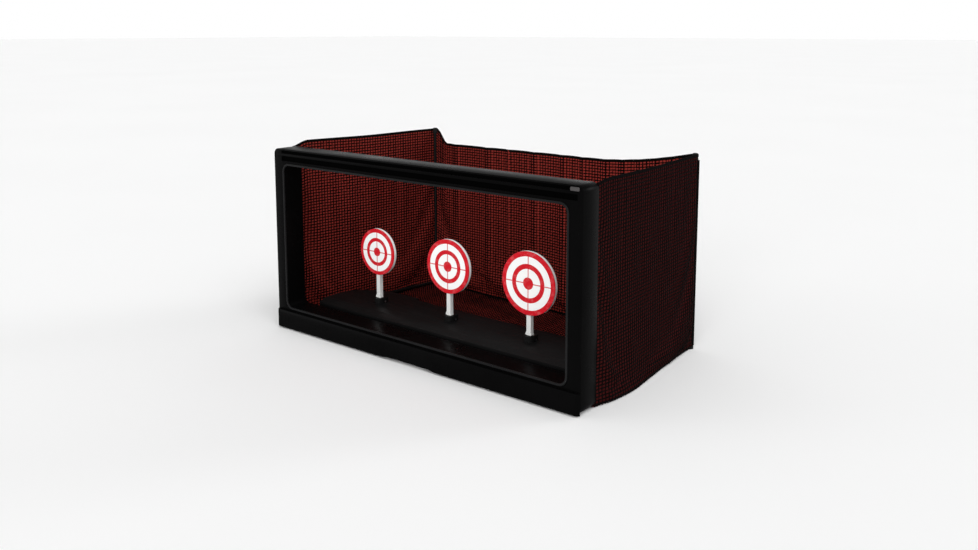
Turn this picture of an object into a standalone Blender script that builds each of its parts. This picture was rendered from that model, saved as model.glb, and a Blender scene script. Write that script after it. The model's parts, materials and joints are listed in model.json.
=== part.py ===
"""Auto-reset target trap: a moulded front frame, a mesh catch net and a powered base with three targets.

Metres, +Z up, +X to the right of someone facing the window, the window looks along -Y.
The origin is the centre of the footprint, on the surface that the trap stands on.
"""

import math

import bmesh
import bpy
from mathutils import Matrix

# ---- Fits ----
GAP = 0.0003  # between two pieces that touch
SHAFT_PLAY = 0.0003  # round a pin or shaft in its hole

# ---- Making ----
OVERCUT = 0.001  # how far a cutter reaches past the face that it opens
DEEP_OVERCUT = 0.002
SINK = 0.0005  # how far a joined piece runs into the one that it joins
THROUGH = 0.02  # a length that passes right through any boss or gear
CORNER_STEPS = 5
HOUSING_STEPS = 8
SPLIT_ANGLE = 50  # degrees; edges that turn by more are rounded
TINY_SIDES = 8
SMALL_SIDES = 10
PIN_SIDES = 12
POST_SIDES = 14
SHAFT_SIDES = 16
FOOT_SIDES = 20

# ---- Front frame ----
FRAME_WIDTH = 0.390
FRAME_TOP = 0.196
FRAME_DEPTH = 0.024
FRAME_CORNER = 0.006
FRAME_ROUNDING = 0.0011
FRAME_WALL = 0.0025
REVEAL_WALL = 0.002
SIDE_RIM = 0.0155
SCREW_SHARES = (0.12, 0.88)  # of the window's height
WINDOW_BOTTOM = 0.0245
WINDOW_TOP = 0.1785
WINDOW_CORNER = 0.007
TRIM_WIDTH = 0.0022
TRIM_PROUD = 0.0009
TRIM_SEAT = 0.0012
TRIM_INSET = 0.0001
TRIM_ROUNDING = 0.0004
TOP_RECESS_LOW = 0.1912
TOP_RECESS_HIGH = 0.1946
LOWER_RECESS_LOW = 0.1832
LOWER_RECESS_HIGH = 0.1884
RECESS_DEPTH = 0.0014
RECESS_SIDE = 0.012  # from the frame's left side to the recesses
RECESS_CORNER = 0.0008
LOWER_RECESS_SIDE = 0.0055
CLIP_SIDE = 0.0030
FOOT_HEIGHT = 0.0012
FOOT_RADIUS = 0.006
FRONT_FEET = (0.165, 0.012)  # across from the middle, behind the frame's front
REAR_FEET = (0.105, 0.082)

# ---- Kick panel and corner clip ----
PANEL_TOP = 0.0205
PANEL_PROUD = 0.004
PANEL_CHAMFER = 0.0026
PANEL_SLOPE = 0.00104
FOOT_CHAMFER = 0.001
NOTCH_WIDTH = 0.074
NOTCH_HEIGHT = 0.0036
CLIP_WIDTH = 0.0088
CLIP_PROUD = 0.0022
CLIP_ROUNDING = 0.0006
PANEL_END = 0.0034  # across the chamfer at the panel's ends
PANEL_LIP = 0.0004
NOTCH_POWER = 2.6
NOTCH_STEPS = 12

# ---- Retainer ----
RETAINER_THICKNESS = 0.003
SCREW_RADIUS = 0.0012
SCREW_HEAD_RADIUS = 0.0027
SCREW_HEAD_TOP = 0.0022
SCREW_HEAD_HEIGHT = 0.0014
BOSS_RADIUS = 0.0036
RING_RECESS = 0.0005  # from the frame's rear edge to the retainer's rear face
SCREW_LENGTH = 0.010
HOLE_LENGTH = 0.013
HOLE_MIDDLE = 0.0075  # from the frame's rear edge
SOCKET_LENGTH = 0.0110
SOCKET_BORE_LENGTH = 0.0060
SOCKET_INSET = 0.0052
SOCKET_HEIGHT = 0.0072

# ---- Net and rods ----
NET_TOP = 0.199
NET_REAR_TOP = 0.1815
NET_THICKNESS = 0.0016
NET_REACH_LEFT = 0.230
NET_REACH_RIGHT = 0.213
NET_LEFT_INSET = 0.024  # how far the rear corners stand in from the frame's sides
NET_RIGHT_INSET = 0.0065
NET_GAP = 0.0022  # between the frame's rear edge and the net
NET_CLEAR = 0.0018  # between a rod and the net
NET_LOW = 0.0045
FLOOR_LOW = 0.0006
FLOOR_CLEAR = 0.003  # between the base unit and the net's floor
FLOOR_INSET = 0.006
FLOOR_CORNER = 0.0055
REAR_SLOPE_SHARE = 0.80
REAR_POSTS = (0.006, 0.028)  # the rear panel's top falls between these distances from the left post
ROD_RADIUS = 0.0015
ROD_HEIGHT = 0.0045
ROD_BEND = 0.010
ROD_STEPS = 6
ROD_IN_SOCKET = 0.0028
ROD_IN_CAP = 0.002
BOOT_RADIUS = 0.004
BOOT_HEIGHT = 0.0026
CAP_RADIUS = 0.0029
CAP_PROUD = 0.001
SOCKET_RADIUS = 0.0042
CAP_LENGTH = 0.007
CAP_BORE_LENGTH = 0.0106

# ---- Base unit ----
BASE_WIDTH = 0.330
BASE_FRONT = 0.0315
BASE_REAR = 0.094
BASE_TOP = 0.0286
BASE_WALL = 0.002
LEDGE_DEPTH = 0.0085
LEDGE_DROP = 0.0036
LEDGE_LIP = 0.00085
COVER_ROUNDING = 0.0009
BASE_CORNER = 0.010
HOUSING_DEPTH = 0.006  # how far the motor housing stands out behind the base
HOUSING_RIGHT_X = -0.079
HOUSING_CORNER_X = -0.112
HOUSING_CORNER_DEPTH = 0.032  # from the base's rear to where the housing's side starts to curve
UPPER_INSET = 0.0105
UPPER_CORNER_X = -0.110
TONGUE_X = 0.120
TONGUE_HALF = 0.010
TONGUE_DROP = 0.0006  # from the base plate's top to the tongue's top
POST_RADIUS = 0.0032
PLATE_THICKNESS = 0.0018

# ---- Targets ----
TARGET_PITCH = 0.100
TARGET_MIDDLE_X = -0.003
DISC_DIAMETERS = (0.0500, 0.0555, 0.0615)
DISC_THICKNESS = 0.0042
DISC_HEIGHT = 0.085
STEM_WIDTH = 0.005
STEM_DEPTH = 0.0044
PIVOT_BEHIND = 0.066
PIVOT_HEIGHT = 0.030
PIVOT_RADIUS = 0.0012
STEM_OFFSET = 0.003
HUB_RADIUS = 0.0033
HUB_RELIEF = 0.0001
HEEL_LENGTH = 0.0065
HEEL_DEPTH = 0.0034
BOSS_HALF_WIDTH = 0.0055
BOSS_FRONT = 0.057
BOSS_REAR = 0.072
BOSS_TOP = 0.0344
STOP_HEIGHT = 0.031
SLOT_PLAY = 0.0005  # between a stem and its slot, on each side
BOSS_ROUNDING = 0.0045
HEEL_SLOT_LOW = 0.020
FLARE_WAY_BEHIND = 0.0022
FLARE_WAY_HEIGHT = 0.0020
HEEL_INSET = 0.0003
RIB_INSET = 0.0008
RIB_DEPTH = 0.0018
RIB_REACH = 0.004
DISC_SEAT = 0.0012  # how deep the disc's back lies in the stem
DISC_SCREW_RADIUS = 0.0009
DISC_SCREW_HEAD = 0.0022
DISC_SCREW_TOP = 0.0017
DISC_SCREW_HEIGHT = 0.0012
DISC_SCREW_LENGTH = 0.0046
DISC_SIDES = 48
FLARE_SIDE = 0.0009  # how far the stem's flared foot stands out on each side
FLARE_HEIGHT = 0.0042
FLARE_INSET = 0.0002
FLARE_LIFT = 0.0004
FLARE_BAND = 0.0012
FLARE_REAR = 0.0015

# ---- Reset drive ----
GEAR_MODULE = 0.0006
MOTOR_TEETH = 9
WHEEL_TEETH = 30
PINION_TEETH = 9
SECTOR_TEETH = 33
SHAFT_BEHIND = 0.062
SHAFT_HEIGHT = 0.0134
SHAFT_RADIUS = 0.0015
FINGER_LENGTH = 0.0120
FINGER_LEAN = 18.0
FINGER_SIDE = 0.0041
FINGER_HALF_WIDTH = 0.0008
FINGER_HALF_DEPTH = 0.0011
FINGER_HUB_RADIUS = 0.0032
FINGER_HUB_LENGTH = 0.0032
FINGER_HUB_SHIFT = 0.001
BAR_LEFT = -0.132
BAR_RIGHT = 0.129
SECTOR_MARGIN = 20  # degrees of teeth beyond the sweep, at each end
SECTOR_HUB_RADIUS = 0.0034
SECTOR_HUB_TURN = 60
SECTOR_HALF = 0.0016
TOOTH_TIP = 0.85  # modules above and below the pitch circle
TOOTH_ROOT = 1.15
TOOTH_TIP_SHARE = 0.11  # of the tooth's step, to each side of its middle
TOOTH_ROOT_SHARE = 0.33
WHEEL_HALF = 0.0015
PINION_REACH = 0.0022
GEAR_PIN_RADIUS = 0.0008
GEAR_PIN_LEFT = 0.0048
GEAR_PIN_RIGHT = 0.0056
MOTOR_PINION_HALF = 0.0020
SPINDLE_RADIUS = 0.0010
SPINDLE_LENGTH = 0.0090
SPINDLE_SHIFT = 0.0022
MOTOR_SIDES = 32
MOTOR_BORE_LENGTH = 0.010
MOTOR_NOSE = 0.0010
CHEEK_LEFT = 0.0045
CHEEK_RIGHT = 0.0040
CHEEK_HALF = 0.0005
CHEEK_FRONT = 0.007
CHEEK_DROP = 0.0025
BRIDGE_DEPTH = 0.0025
BRIDGE_HEIGHT = 0.0045
MOTOR_RADIUS = 0.010
MOTOR_FLAT = 0.0075
MOTOR_LENGTH = 0.025
MOTOR_HEIGHT = 0.0149
WHEEL_PLANE = -0.0780
SECTOR_PLANE = -0.0722

# ---- Power ----
CELL_LENGTH = 0.0505
CELL_RADIUS = 0.0071
CELL_COUNT = 3
CELL_BEHIND = 0.0424
BATTERY_LEFT_X = -0.017
BAY_SPARE = 0.006
BAY_CLEAR = 0.0004
BAY_WALL = 0.0018
BAY_WALL_HEIGHT = 0.011
CELL_FIRST = 0.0028
CELL_TIP = 0.0015
CELL_TIP_RADIUS = 0.0025
CELL_TIP_LENGTH = 0.002
CONTACT_SIDE = 0.0006
CONTACT_THICKNESS = 0.0006
CONTACT_HALF = 0.005
CONTACT_TOP = 0.006
SHAFT_POSTS = (-0.128, -0.050, 0.050, 0.125)
SHAFT_POST_HALF_WIDTH = 0.002
SHAFT_POST_HALF_DEPTH = 0.004
SHAFT_POST_TOP = 0.0045
BASE_SCREWS = ((-0.150, 0.040), (0.155, 0.040), (-0.125, 0.074), (0.145, 0.074))
SWITCH_X = 0.125
SWITCH_HEIGHT = 0.0145
SWITCH_TRAVEL = 0.004
SWITCH_WINDOW = (0.0035, 0.0018)  # half its width and half its height
SWITCH_BODY = (0.0075, 0.0055, 0.0035)  # half its width, its depth, half its height
SWITCH_TRACK = (0.0024, 0.0030, 0.0015)
SWITCH_KNOB = (0.0020, 0.0026, 0.0013)
KNOB_PROUD = 0.0024
SMALL_ROUNDING = 0.0003
BOARD_X = (0.018, 0.078)
BOARD_BEHIND = (0.072, 0.090)
BOARD_HEIGHT = (0.0015, 0.0031)  # above the base plate
TAB_X = (0.0062, 0.0032)  # the contact tabs' sides, left of each target's middle
STRIP_BEHIND = (0.0066, 0.0090)  # behind the targets' pivots
TAB_BEHIND = (0.0050, 0.0070)
TIP_BEHIND = (0.0046, 0.0051)
STRIP_DROP = (0.0011, 0.0006)  # below the inside of the cover's top
TIP_DROP = 0.0040
BASE_SCREW_HEAD = (0.0019, 0.0024)
BASE_SCREW_HEIGHT = 0.0007
BASE_SCREW_LENGTH = 0.0080
LEAD_RADIUS = 0.0006
LEAD_STEPS = 18
# The leads' control points: across from the motor's left end or the switch, behind the front, height.
MOTOR_LEAD = (
    (-0.0012, 0.088, 0.0149), (-0.020, 0.082, 0.008), (-0.021, 0.040, 0.006), (0.049, 0.040, 0.0050),
)  # fmt: skip
BATTERY_LEAD = ((0.024, 0.046, 0.008), (0.035, 0.055, 0.0215), (0.025, 0.085, 0.0215), (0.014, 0.089, 0.0145))

# ---- Worked out from the above ----
FRONT_Y = -(NET_REACH_LEFT + BOOT_RADIUS - PANEL_PROUD) / 2
WINDOW_WIDTH = FRAME_WIDTH - 2 * SIDE_RIM
HOUSING_REAR = BASE_REAR + HOUSING_DEPTH
HOUSING_CORNER_Y = BASE_REAR - HOUSING_CORNER_DEPTH
TARGET_X = [TARGET_MIDDLE_X + side * TARGET_PITCH for side in (-1, 0, 1)]
INNER_TOP = BASE_TOP - BASE_WALL
PLATE_TOP = FOOT_HEIGHT + PLATE_THICKNESS
PINION_BEHIND = SHAFT_BEHIND + GEAR_MODULE * (SECTOR_TEETH + PINION_TEETH) / 2
MOTOR_REACH = GEAR_MODULE * (WHEEL_TEETH + MOTOR_TEETH) / 2
MOTOR_BEHIND = PINION_BEHIND + math.sqrt(MOTOR_REACH**2 - (MOTOR_HEIGHT - SHAFT_HEIGHT) ** 2)
CELL_HEIGHT = PLATE_TOP + CELL_RADIUS + GAP
MOTOR_RIGHT_X = WHEEL_PLANE - 0.0050
RING_REAR = FRAME_DEPTH - RING_RECESS


def back(distance):
    """The Y of a plane that far behind the front of the frame."""
    return FRONT_Y + distance


# ---- Collections and materials ----
for old in list(bpy.data.objects):
    bpy.data.objects.remove(old, do_unlink=True)

model = bpy.data.collections.new("target_trap")
tools = bpy.data.collections.new("cutters")
bpy.context.scene.collection.children.link(model)
bpy.context.scene.collection.children.link(tools)


def material(name, colour, roughness, metallic=0.0):
    made = bpy.data.materials.new(name)
    made.use_nodes = True
    shader = made.node_tree.nodes["Principled BSDF"]
    shader.inputs["Base Color"].default_value = (*colour, 1.0)
    shader.inputs["Roughness"].default_value = roughness
    shader.inputs["Metallic"].default_value = metallic
    return made


BLACK_PLASTIC = material("black_plastic", (0.018, 0.018, 0.019), 0.38)
DARK_PLASTIC = material("dark_plastic", (0.012, 0.012, 0.012), 0.55)
GREY_PLASTIC = material("grey_plastic", (0.13, 0.13, 0.135), 0.4)
WHITE_PLASTIC = material("white_plastic", (0.82, 0.82, 0.80), 0.35)
TARGET_FACE = material("target_face", (0.75, 0.10, 0.12), 0.4)
NET_MESH = material("net_mesh", (0.10, 0.008, 0.010), 0.9)
RUBBER = material("rubber", (0.02, 0.02, 0.02), 0.8)
STEEL = material("steel", (0.55, 0.55, 0.56), 0.3, 1.0)
BLACK_WIRE = material("black_wire", (0.02, 0.02, 0.02), 0.45)
BRASS = material("brass", (0.70, 0.52, 0.22), 0.3, 1.0)
COPPER = material("copper_wire", (0.55, 0.03, 0.03), 0.45)
BOARD_GREEN = material("board_green", (0.02, 0.15, 0.06), 0.4)
GEAR_PLASTIC = material("gear_plastic", (0.75, 0.73, 0.66), 0.4)
CELL_JACKET = material("cell_jacket", (0.05, 0.10, 0.30), 0.3)


# ---- Shape helpers ----
def add(name, mesh, finish=None):
    """Links a mesh as a sub-part, or as a cutter when it has no finish."""
    made = bpy.data.objects.new(name, mesh)
    if finish is None:
        tools.objects.link(made)
        made.hide_render = True
        made.display_type = "WIRE"
    else:
        model.objects.link(made)
        mesh.materials.clear()
        mesh.materials.append(finish)
    return made


def finish_mesh(form, name):
    bmesh.ops.recalc_face_normals(form, faces=form.faces)
    mesh = bpy.data.meshes.new(name)
    form.to_mesh(mesh)
    form.free()
    return mesh


def block(name, low, high, finish=None):
    """A box between two corners, with its origin at its middle."""
    form = bmesh.new()
    bmesh.ops.create_cube(form, size=1.0)
    middle = [(a + b) / 2 for a, b in zip(low, high, strict=True)]
    sides = [b - a for a, b in zip(low, high, strict=True)]
    bmesh.ops.scale(form, vec=sides, verts=form.verts)
    made = add(name, finish_mesh(form, name), finish)
    made.location = middle
    return made


TURNS = {"X": (0, math.pi / 2, 0), "Y": (-math.pi / 2, 0, 0), "Z": (0, 0, 0)}


def rod(name, centre, radius, length, along, finish=None, sides=24, top_radius=None):
    """A cylinder or cone about its centre; its second end lies towards + on its axis."""
    form = bmesh.new()
    end = radius if top_radius is None else top_radius
    bmesh.ops.create_cone(
        form, cap_ends=True, segments=sides, radius1=radius, radius2=end, depth=length
    )
    made = add(name, finish_mesh(form, name), finish)
    made.location = centre
    made.rotation_euler = TURNS[along]
    made.data.shade_smooth()
    made.data.set_sharp_from_angle(angle=math.radians(35))
    return made


SECTIONS = {
    "XY": (0, 0, 0),
    "XZ": (math.pi / 2, 0, 0),
    "YZ": (math.pi / 2, 0, math.pi / 2),
}


def plate(name, outlines, section, start, end, finish=None):
    """A flat outline, with holes if more outlines follow, run from start to end across its plane."""
    curve = bpy.data.curves.new(name, "CURVE")
    curve.dimensions = "2D"
    curve.fill_mode = "BOTH"
    curve.extrude = (end - start) / 2
    for outline in outlines:
        spline = curve.splines.new("POLY")
        spline.points.add(len(outline) - 1)
        for point, (across, up) in zip(spline.points, outline, strict=True):
            point.co = (across, up, 0, 1)
        spline.use_cyclic_u = True
    guide = bpy.data.objects.new(name, curve)
    tools.objects.link(guide)
    guide.rotation_euler = SECTIONS[section]
    middle = (start + end) / 2
    guide.location = {"XY": (0, 0, middle), "XZ": (0, middle, 0), "YZ": (middle, 0, 0)}[section]
    bpy.context.view_layer.update()
    mesh = bpy.data.meshes.new_from_object(
        guide.evaluated_get(bpy.context.evaluated_depsgraph_get())
    )
    place = guide.matrix_world.copy()
    bpy.data.objects.remove(guide)
    bpy.data.curves.remove(curve)
    form = bmesh.new()
    form.from_mesh(mesh)
    bmesh.ops.remove_doubles(form, verts=form.verts, dist=0.00001)
    bmesh.ops.recalc_face_normals(form, faces=form.faces)
    form.to_mesh(mesh)
    form.free()
    made = add(name, mesh, finish)
    made.matrix_world = place
    return made


def rounded(low, high, radius, steps=5):
    """A rectangle with round corners, anticlockwise."""
    centres = (
        (high[0] - radius, high[1] - radius, 0),
        (low[0] + radius, high[1] - radius, 90),
        (low[0] + radius, low[1] + radius, 180),
        (high[0] - radius, low[1] + radius, 270),
    )
    points = []
    for across, up, first in centres:
        for step in range(steps + 1):
            angle = math.radians(first + 90 * step / steps)
            points.append((across + radius * math.cos(angle), up + radius * math.sin(angle)))
    return points


def modify(target, tool, operation):
    change = target.modifiers.new(f"{operation.lower()}_{tool.name}", "BOOLEAN")
    change.operation = operation
    change.solver = "EXACT"
    change.object = tool
    return target


def cut(target, tool):
    return modify(target, tool, "DIFFERENCE")


def unite(target, tool):
    return modify(target, tool, "UNION")


def soften(target, width, segments=2, angle=40):
    """Rounds the edges that turn by more than the angle."""
    change = target.modifiers.new("soften", "BEVEL")
    change.width = width
    change.segments = segments
    change.limit_method = "ANGLE"
    change.angle_limit = math.radians(angle)
    return target


def pivot(name, place):
    """An empty on a joint's axis."""
    made = bpy.data.objects.new(name, None)
    model.objects.link(made)
    made.location = place
    made.empty_display_size = 0.01
    return made


def hang(parent, *children):
    """Parents pieces to an empty and leaves them where they are."""
    bpy.context.view_layer.update()
    for child in children:
        child.parent = parent
        child.matrix_parent_inverse = parent.matrix_world.inverted()


def gear_outline(teeth, centre, tooth_angle, first=None, last=None):
    """A spur gear's outline in its plane, with a tooth centred on tooth_angle (radians).

    With first and last (degrees about the centre) only that sector has teeth, and the rest is hub.
    """
    pitch = GEAR_MODULE * teeth / 2
    step = 2 * math.pi / teeth
    tip, root = pitch + TOOTH_TIP * GEAR_MODULE, pitch - TOOTH_ROOT * GEAR_MODULE
    narrow, wide = TOOTH_TIP_SHARE, TOOTH_ROOT_SHARE
    profile = ((-wide, root), (-narrow, tip), (narrow, tip), (wide, root))
    points = []
    for tooth in range(teeth):
        angle = tooth_angle + tooth * step
        if first is not None:
            turned = (math.degrees(angle) - first) % 360
            if turned > last - first:
                continue
        for share, radius in profile:
            points.append((angle + share * step, radius))
    if first is not None:
        points.sort(key=lambda point: (math.degrees(point[0]) - first + 30) % 360)
        points.append((points[-1][0] + math.radians(SECTOR_HUB_TURN), SECTOR_HUB_RADIUS))
        points.append((math.radians((first + last) / 2 + 180), SECTOR_HUB_RADIUS))
        points.append((points[0][0] - math.radians(SECTOR_HUB_TURN), SECTOR_HUB_RADIUS))
    return [(centre[0] + r * math.cos(a), centre[1] + r * math.sin(a)) for a, r in points]


# ---- Front frame ----
def screw_places():
    """Where the retainer screws sit, in X and Z."""
    side = FRAME_WIDTH / 2 - FRAME_WALL - (SIDE_RIM - FRAME_WALL - REVEAL_WALL) / 2
    rise = WINDOW_TOP - WINDOW_BOTTOM
    return [(x, WINDOW_BOTTOM + rise * share) for x in (-side, side) for share in SCREW_SHARES]


def frame_outline(inset):
    half = FRAME_WIDTH / 2 - inset
    low, high = (-half, FOOT_HEIGHT + inset), (half, FRAME_TOP - inset)
    return rounded(low, high, max(FRAME_CORNER - inset, 0.002))


def window_outline(outset):
    half = WINDOW_WIDTH / 2 + outset
    low, high = (-half, WINDOW_BOTTOM - outset), (half, WINDOW_TOP + outset)
    return rounded(low, high, WINDOW_CORNER + outset)


def front_frame():
    ring = plate(
        "front_frame", [frame_outline(0), window_outline(0)], "XZ",
        back(0), back(FRAME_DEPTH), BLACK_PLASTIC,
    )  # fmt: skip
    soften(ring, FRAME_ROUNDING, 2, SPLIT_ANGLE)
    channel = plate(
        "frame_channel", [frame_outline(FRAME_WALL), window_outline(REVEAL_WALL)], "XZ",
        back(FRAME_WALL), back(FRAME_DEPTH + OVERCUT),
    )  # fmt: skip
    cut(ring, channel)
    length = RING_REAR - FRAME_WALL - RETAINER_THICKNESS - 2 * GAP
    middle = back(FRAME_WALL + length / 2 - SINK)
    for number, (x, z) in enumerate(screw_places()):
        post = rod(f"frame_boss_{number}", (x, middle, z), BOSS_RADIUS, length, "Y", sides=POST_SIDES)
        unite(ring, post)
        hole_place = (x, back(FRAME_DEPTH - HOLE_MIDDLE), z)
        bore = SCREW_RADIUS + GAP
        cut(ring, rod(f"frame_hole_{number}", hole_place, bore, HOLE_LENGTH, "Y", sides=SMALL_SIDES))
    reach = FRAME_WIDTH / 2 - RECESS_SIDE
    for low, high, right in (
        (TOP_RECESS_LOW, TOP_RECESS_HIGH, FRAME_WIDTH / 2 - CLIP_SIDE - CLIP_WIDTH),
        (LOWER_RECESS_LOW, LOWER_RECESS_HIGH, FRAME_WIDTH / 2 - LOWER_RECESS_SIDE),
    ):
        slot = rounded((-reach, low), (right, high), RECESS_CORNER, 2)
        cut(ring, plate("frame_recess", [slot], "XZ", back(-OVERCUT), back(RECESS_DEPTH)))
    seat = [window_outline(TRIM_WIDTH + GAP), window_outline(-OVERCUT)]
    cut(ring, plate("trim_seat", seat, "XZ", back(-OVERCUT), back(TRIM_SEAT)))
    return ring


def window_trim():
    ring = plate(
        "window_trim", [window_outline(TRIM_WIDTH), window_outline(TRIM_INSET)], "XZ",
        back(-TRIM_PROUD), back(TRIM_SEAT - GAP), GREY_PLASTIC,
    )  # fmt: skip
    return soften(ring, TRIM_ROUNDING, 1, SPLIT_ANGLE)


def kick_panel():
    half = FRAME_WIDTH / 2
    inner = back(-GAP)
    outer = back(-PANEL_PROUD)
    section = [
        (inner, FOOT_HEIGHT), (inner, PANEL_TOP), (outer + PANEL_SLOPE, PANEL_TOP),
        (outer, PANEL_TOP - PANEL_CHAMFER), (outer, FOOT_HEIGHT + FOOT_CHAMFER),
        (outer + FOOT_CHAMFER, FOOT_HEIGHT),
    ]  # fmt: skip
    panel = plate("kick_panel", [section], "YZ", -half, half, BLACK_PLASTIC)
    for side in (-1, 1):
        past, end = side * (half + OVERCUT), side * (half - PANEL_END)
        corner = [
            (past, outer - OVERCUT), (past, inner - PANEL_LIP), (side * half, inner - PANEL_LIP),
            (end, outer), (end, outer - OVERCUT),
        ]  # fmt: skip
        cut(panel, plate(f"panel_end_{side}", [corner], "XY", -OVERCUT, PANEL_TOP + OVERCUT))
    notch_low = FOOT_HEIGHT - DEEP_OVERCUT
    arch = [(-NOTCH_WIDTH / 2, notch_low), (NOTCH_WIDTH / 2, notch_low)]
    for step in range(NOTCH_STEPS + 1):
        share = 1 - 2 * step / NOTCH_STEPS
        rise = NOTCH_HEIGHT * (1 - abs(share) ** NOTCH_POWER)
        arch.append((NOTCH_WIDTH / 2 * share, FOOT_HEIGHT + rise))
    cut(panel, plate("finger_notch", [arch], "XZ", back(-PANEL_PROUD - DEEP_OVERCUT), back(DEEP_OVERCUT)))
    return panel


def corner_clip():
    right = FRAME_WIDTH / 2 - CLIP_SIDE
    low = (right - CLIP_WIDTH, back(-CLIP_PROUD), TOP_RECESS_LOW)
    high = (right, back(-GAP), TOP_RECESS_HIGH)
    return soften(block("corner_clip", low, high, GREY_PLASTIC), CLIP_ROUNDING, 1)


def rod_front(side):
    """The front end of a net rod's straight floor run."""
    x = side * (FRAME_WIDTH / 2 - FRAME_WALL - SOCKET_INSET)
    return (x, back(FRAME_DEPTH), FOOT_HEIGHT + SOCKET_HEIGHT)


def retainer_ring():
    ring = plate(
        "retainer_ring", [frame_outline(FRAME_WALL + GAP), window_outline(REVEAL_WALL + GAP)], "XZ",
        back(RING_REAR - RETAINER_THICKNESS), back(RING_REAR), DARK_PLASTIC,
    )  # fmt: skip
    for number, (x, z) in enumerate(screw_places()):
        place, bore = (x, back(FRAME_DEPTH), z), SCREW_RADIUS + GAP
        cut(ring, rod(f"retainer_hole_{number}", place, bore, HOLE_LENGTH, "Y", sides=SMALL_SIDES))
    for side in (-1, 1):
        x, y, z = rod_front(side)
        unite(ring, rod(f"socket_{side}", (x, y, z), SOCKET_RADIUS, SOCKET_LENGTH, "Y", sides=SHAFT_SIDES))
        place, bore = (x, y + SOCKET_LENGTH / 2 - SINK, z), ROD_RADIUS + GAP
        cut(ring, rod(f"socket_bore_{side}", place, bore, SOCKET_BORE_LENGTH, "Y", sides=PIN_SIDES))
    return ring


def frame_screws():
    rear = RING_REAR + GAP
    for number, (x, z) in enumerate(screw_places(), 1):
        head = rod(
            f"frame_screw_{number}", (x, back(rear + SCREW_HEAD_HEIGHT / 2), z), SCREW_HEAD_RADIUS,
            SCREW_HEAD_HEIGHT, "Y", STEEL, POST_SIDES, SCREW_HEAD_TOP,
        )  # fmt: skip
        place = (x, back(rear + SINK - SCREW_LENGTH / 2), z)
        unite(head, rod(f"shank_{number}", place, SCREW_RADIUS, SCREW_LENGTH, "Y", sides=TINY_SIDES))


def rubber_feet():
    places = [(side * x, behind) for x, behind in (FRONT_FEET, REAR_FEET) for side in (-1, 1)]
    height = FOOT_HEIGHT - GAP
    for number, (x, behind) in enumerate(places, 1):
        place = (x, back(behind), height / 2)
        rod(f"rubber_foot_{number}", place, FOOT_RADIUS, height, "Z", RUBBER, FOOT_SIDES)


# ---- Net ----
def rear_corner(side):
    if side < 0:
        return NET_LEFT_INSET - FRAME_WIDTH / 2, back(NET_REACH_LEFT)
    return FRAME_WIDTH / 2 - NET_RIGHT_INSET, back(NET_REACH_RIGHT)


def net_rod(name, side):
    """A wire bent up at the rear corner: along the floor, round the bend, up to the net's top."""
    x, y, z = rod_front(side)
    rear_x, rear_y = rear_corner(side)
    start = (x, y + ROD_IN_SOCKET, z)
    run = math.hypot(rear_x - x, rear_y - y)
    along = ((rear_x - x) / run, (rear_y - y) / run)
    points = [start]
    bend_x, bend_y = rear_x - along[0] * ROD_BEND, rear_y - along[1] * ROD_BEND
    for step in range(ROD_STEPS + 1):
        angle = math.pi / 2 * step / ROD_STEPS
        ahead, rise = ROD_BEND * math.sin(angle), ROD_BEND * (1 - math.cos(angle))
        points.append((bend_x + along[0] * ahead, bend_y + along[1] * ahead, ROD_HEIGHT + rise))
    points.append((rear_x, rear_y, NET_TOP - ROD_IN_CAP))
    curve = bpy.data.curves.new(name, "CURVE")
    curve.dimensions = "3D"
    curve.bevel_depth = ROD_RADIUS
    curve.bevel_resolution = 2
    curve.use_fill_caps = True
    spline = curve.splines.new("POLY")
    spline.points.add(len(points) - 1)
    for point, place in zip(spline.points, points, strict=True):
        point.co = (*place, 1)
    made = bpy.data.objects.new(name, curve)
    curve.materials.append(BLACK_WIRE)
    model.objects.link(made)
    return made


def rod_ends():
    """The soft cap on each rod's upper end and the boot under its bend."""
    for side, word in ((-1, "left"), (1, "right")):
        x, y = rear_corner(side)
        middle = NET_TOP - CAP_LENGTH / 2 + CAP_PROUD
        cap = rod(f"rod_cap_{word}", (x, y, middle), CAP_RADIUS, CAP_LENGTH, "Z", RUBBER, SHAFT_SIDES)
        soften(cap, CAP_PROUD, 2)
        bore = (x, y, NET_TOP - CAP_LENGTH)
        cut(cap, rod(f"cap_bore_{word}", bore, ROD_RADIUS + GAP, CAP_BORE_LENGTH, "Z", sides=PIN_SIDES))
        place = (x, y, BOOT_HEIGHT / 2)
        rod(f"rod_boot_{word}", place, BOOT_RADIUS, BOOT_HEIGHT, "Z", RUBBER, SHAFT_SIDES)


def net_panel(name, start, end, low, high_start, high_end, raised=0.0):
    """A flat upright panel between two plan points; raised lifts its top's two ends."""
    run = math.hypot(end[0] - start[0], end[1] - start[1])
    top = [(run, high_end)]
    if raised:
        near, far = REAR_POSTS
        top += [(run - near, high_end), (run * REAR_SLOPE_SHARE, high_end - raised)]
        top += [(far, high_start - raised), (near, high_start)]
    outline = [(0, low), (run, low), *top, (0, high_start)]
    panel = plate(name, [outline], "XZ", -NET_THICKNESS / 2, NET_THICKNESS / 2, NET_MESH)
    turn = math.atan2(end[1] - start[1], end[0] - start[0])
    place = Matrix.Translation((start[0], start[1], 0)) @ Matrix.Rotation(turn, 4, "Z")
    panel.matrix_world = place @ panel.matrix_world
    return panel


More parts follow.
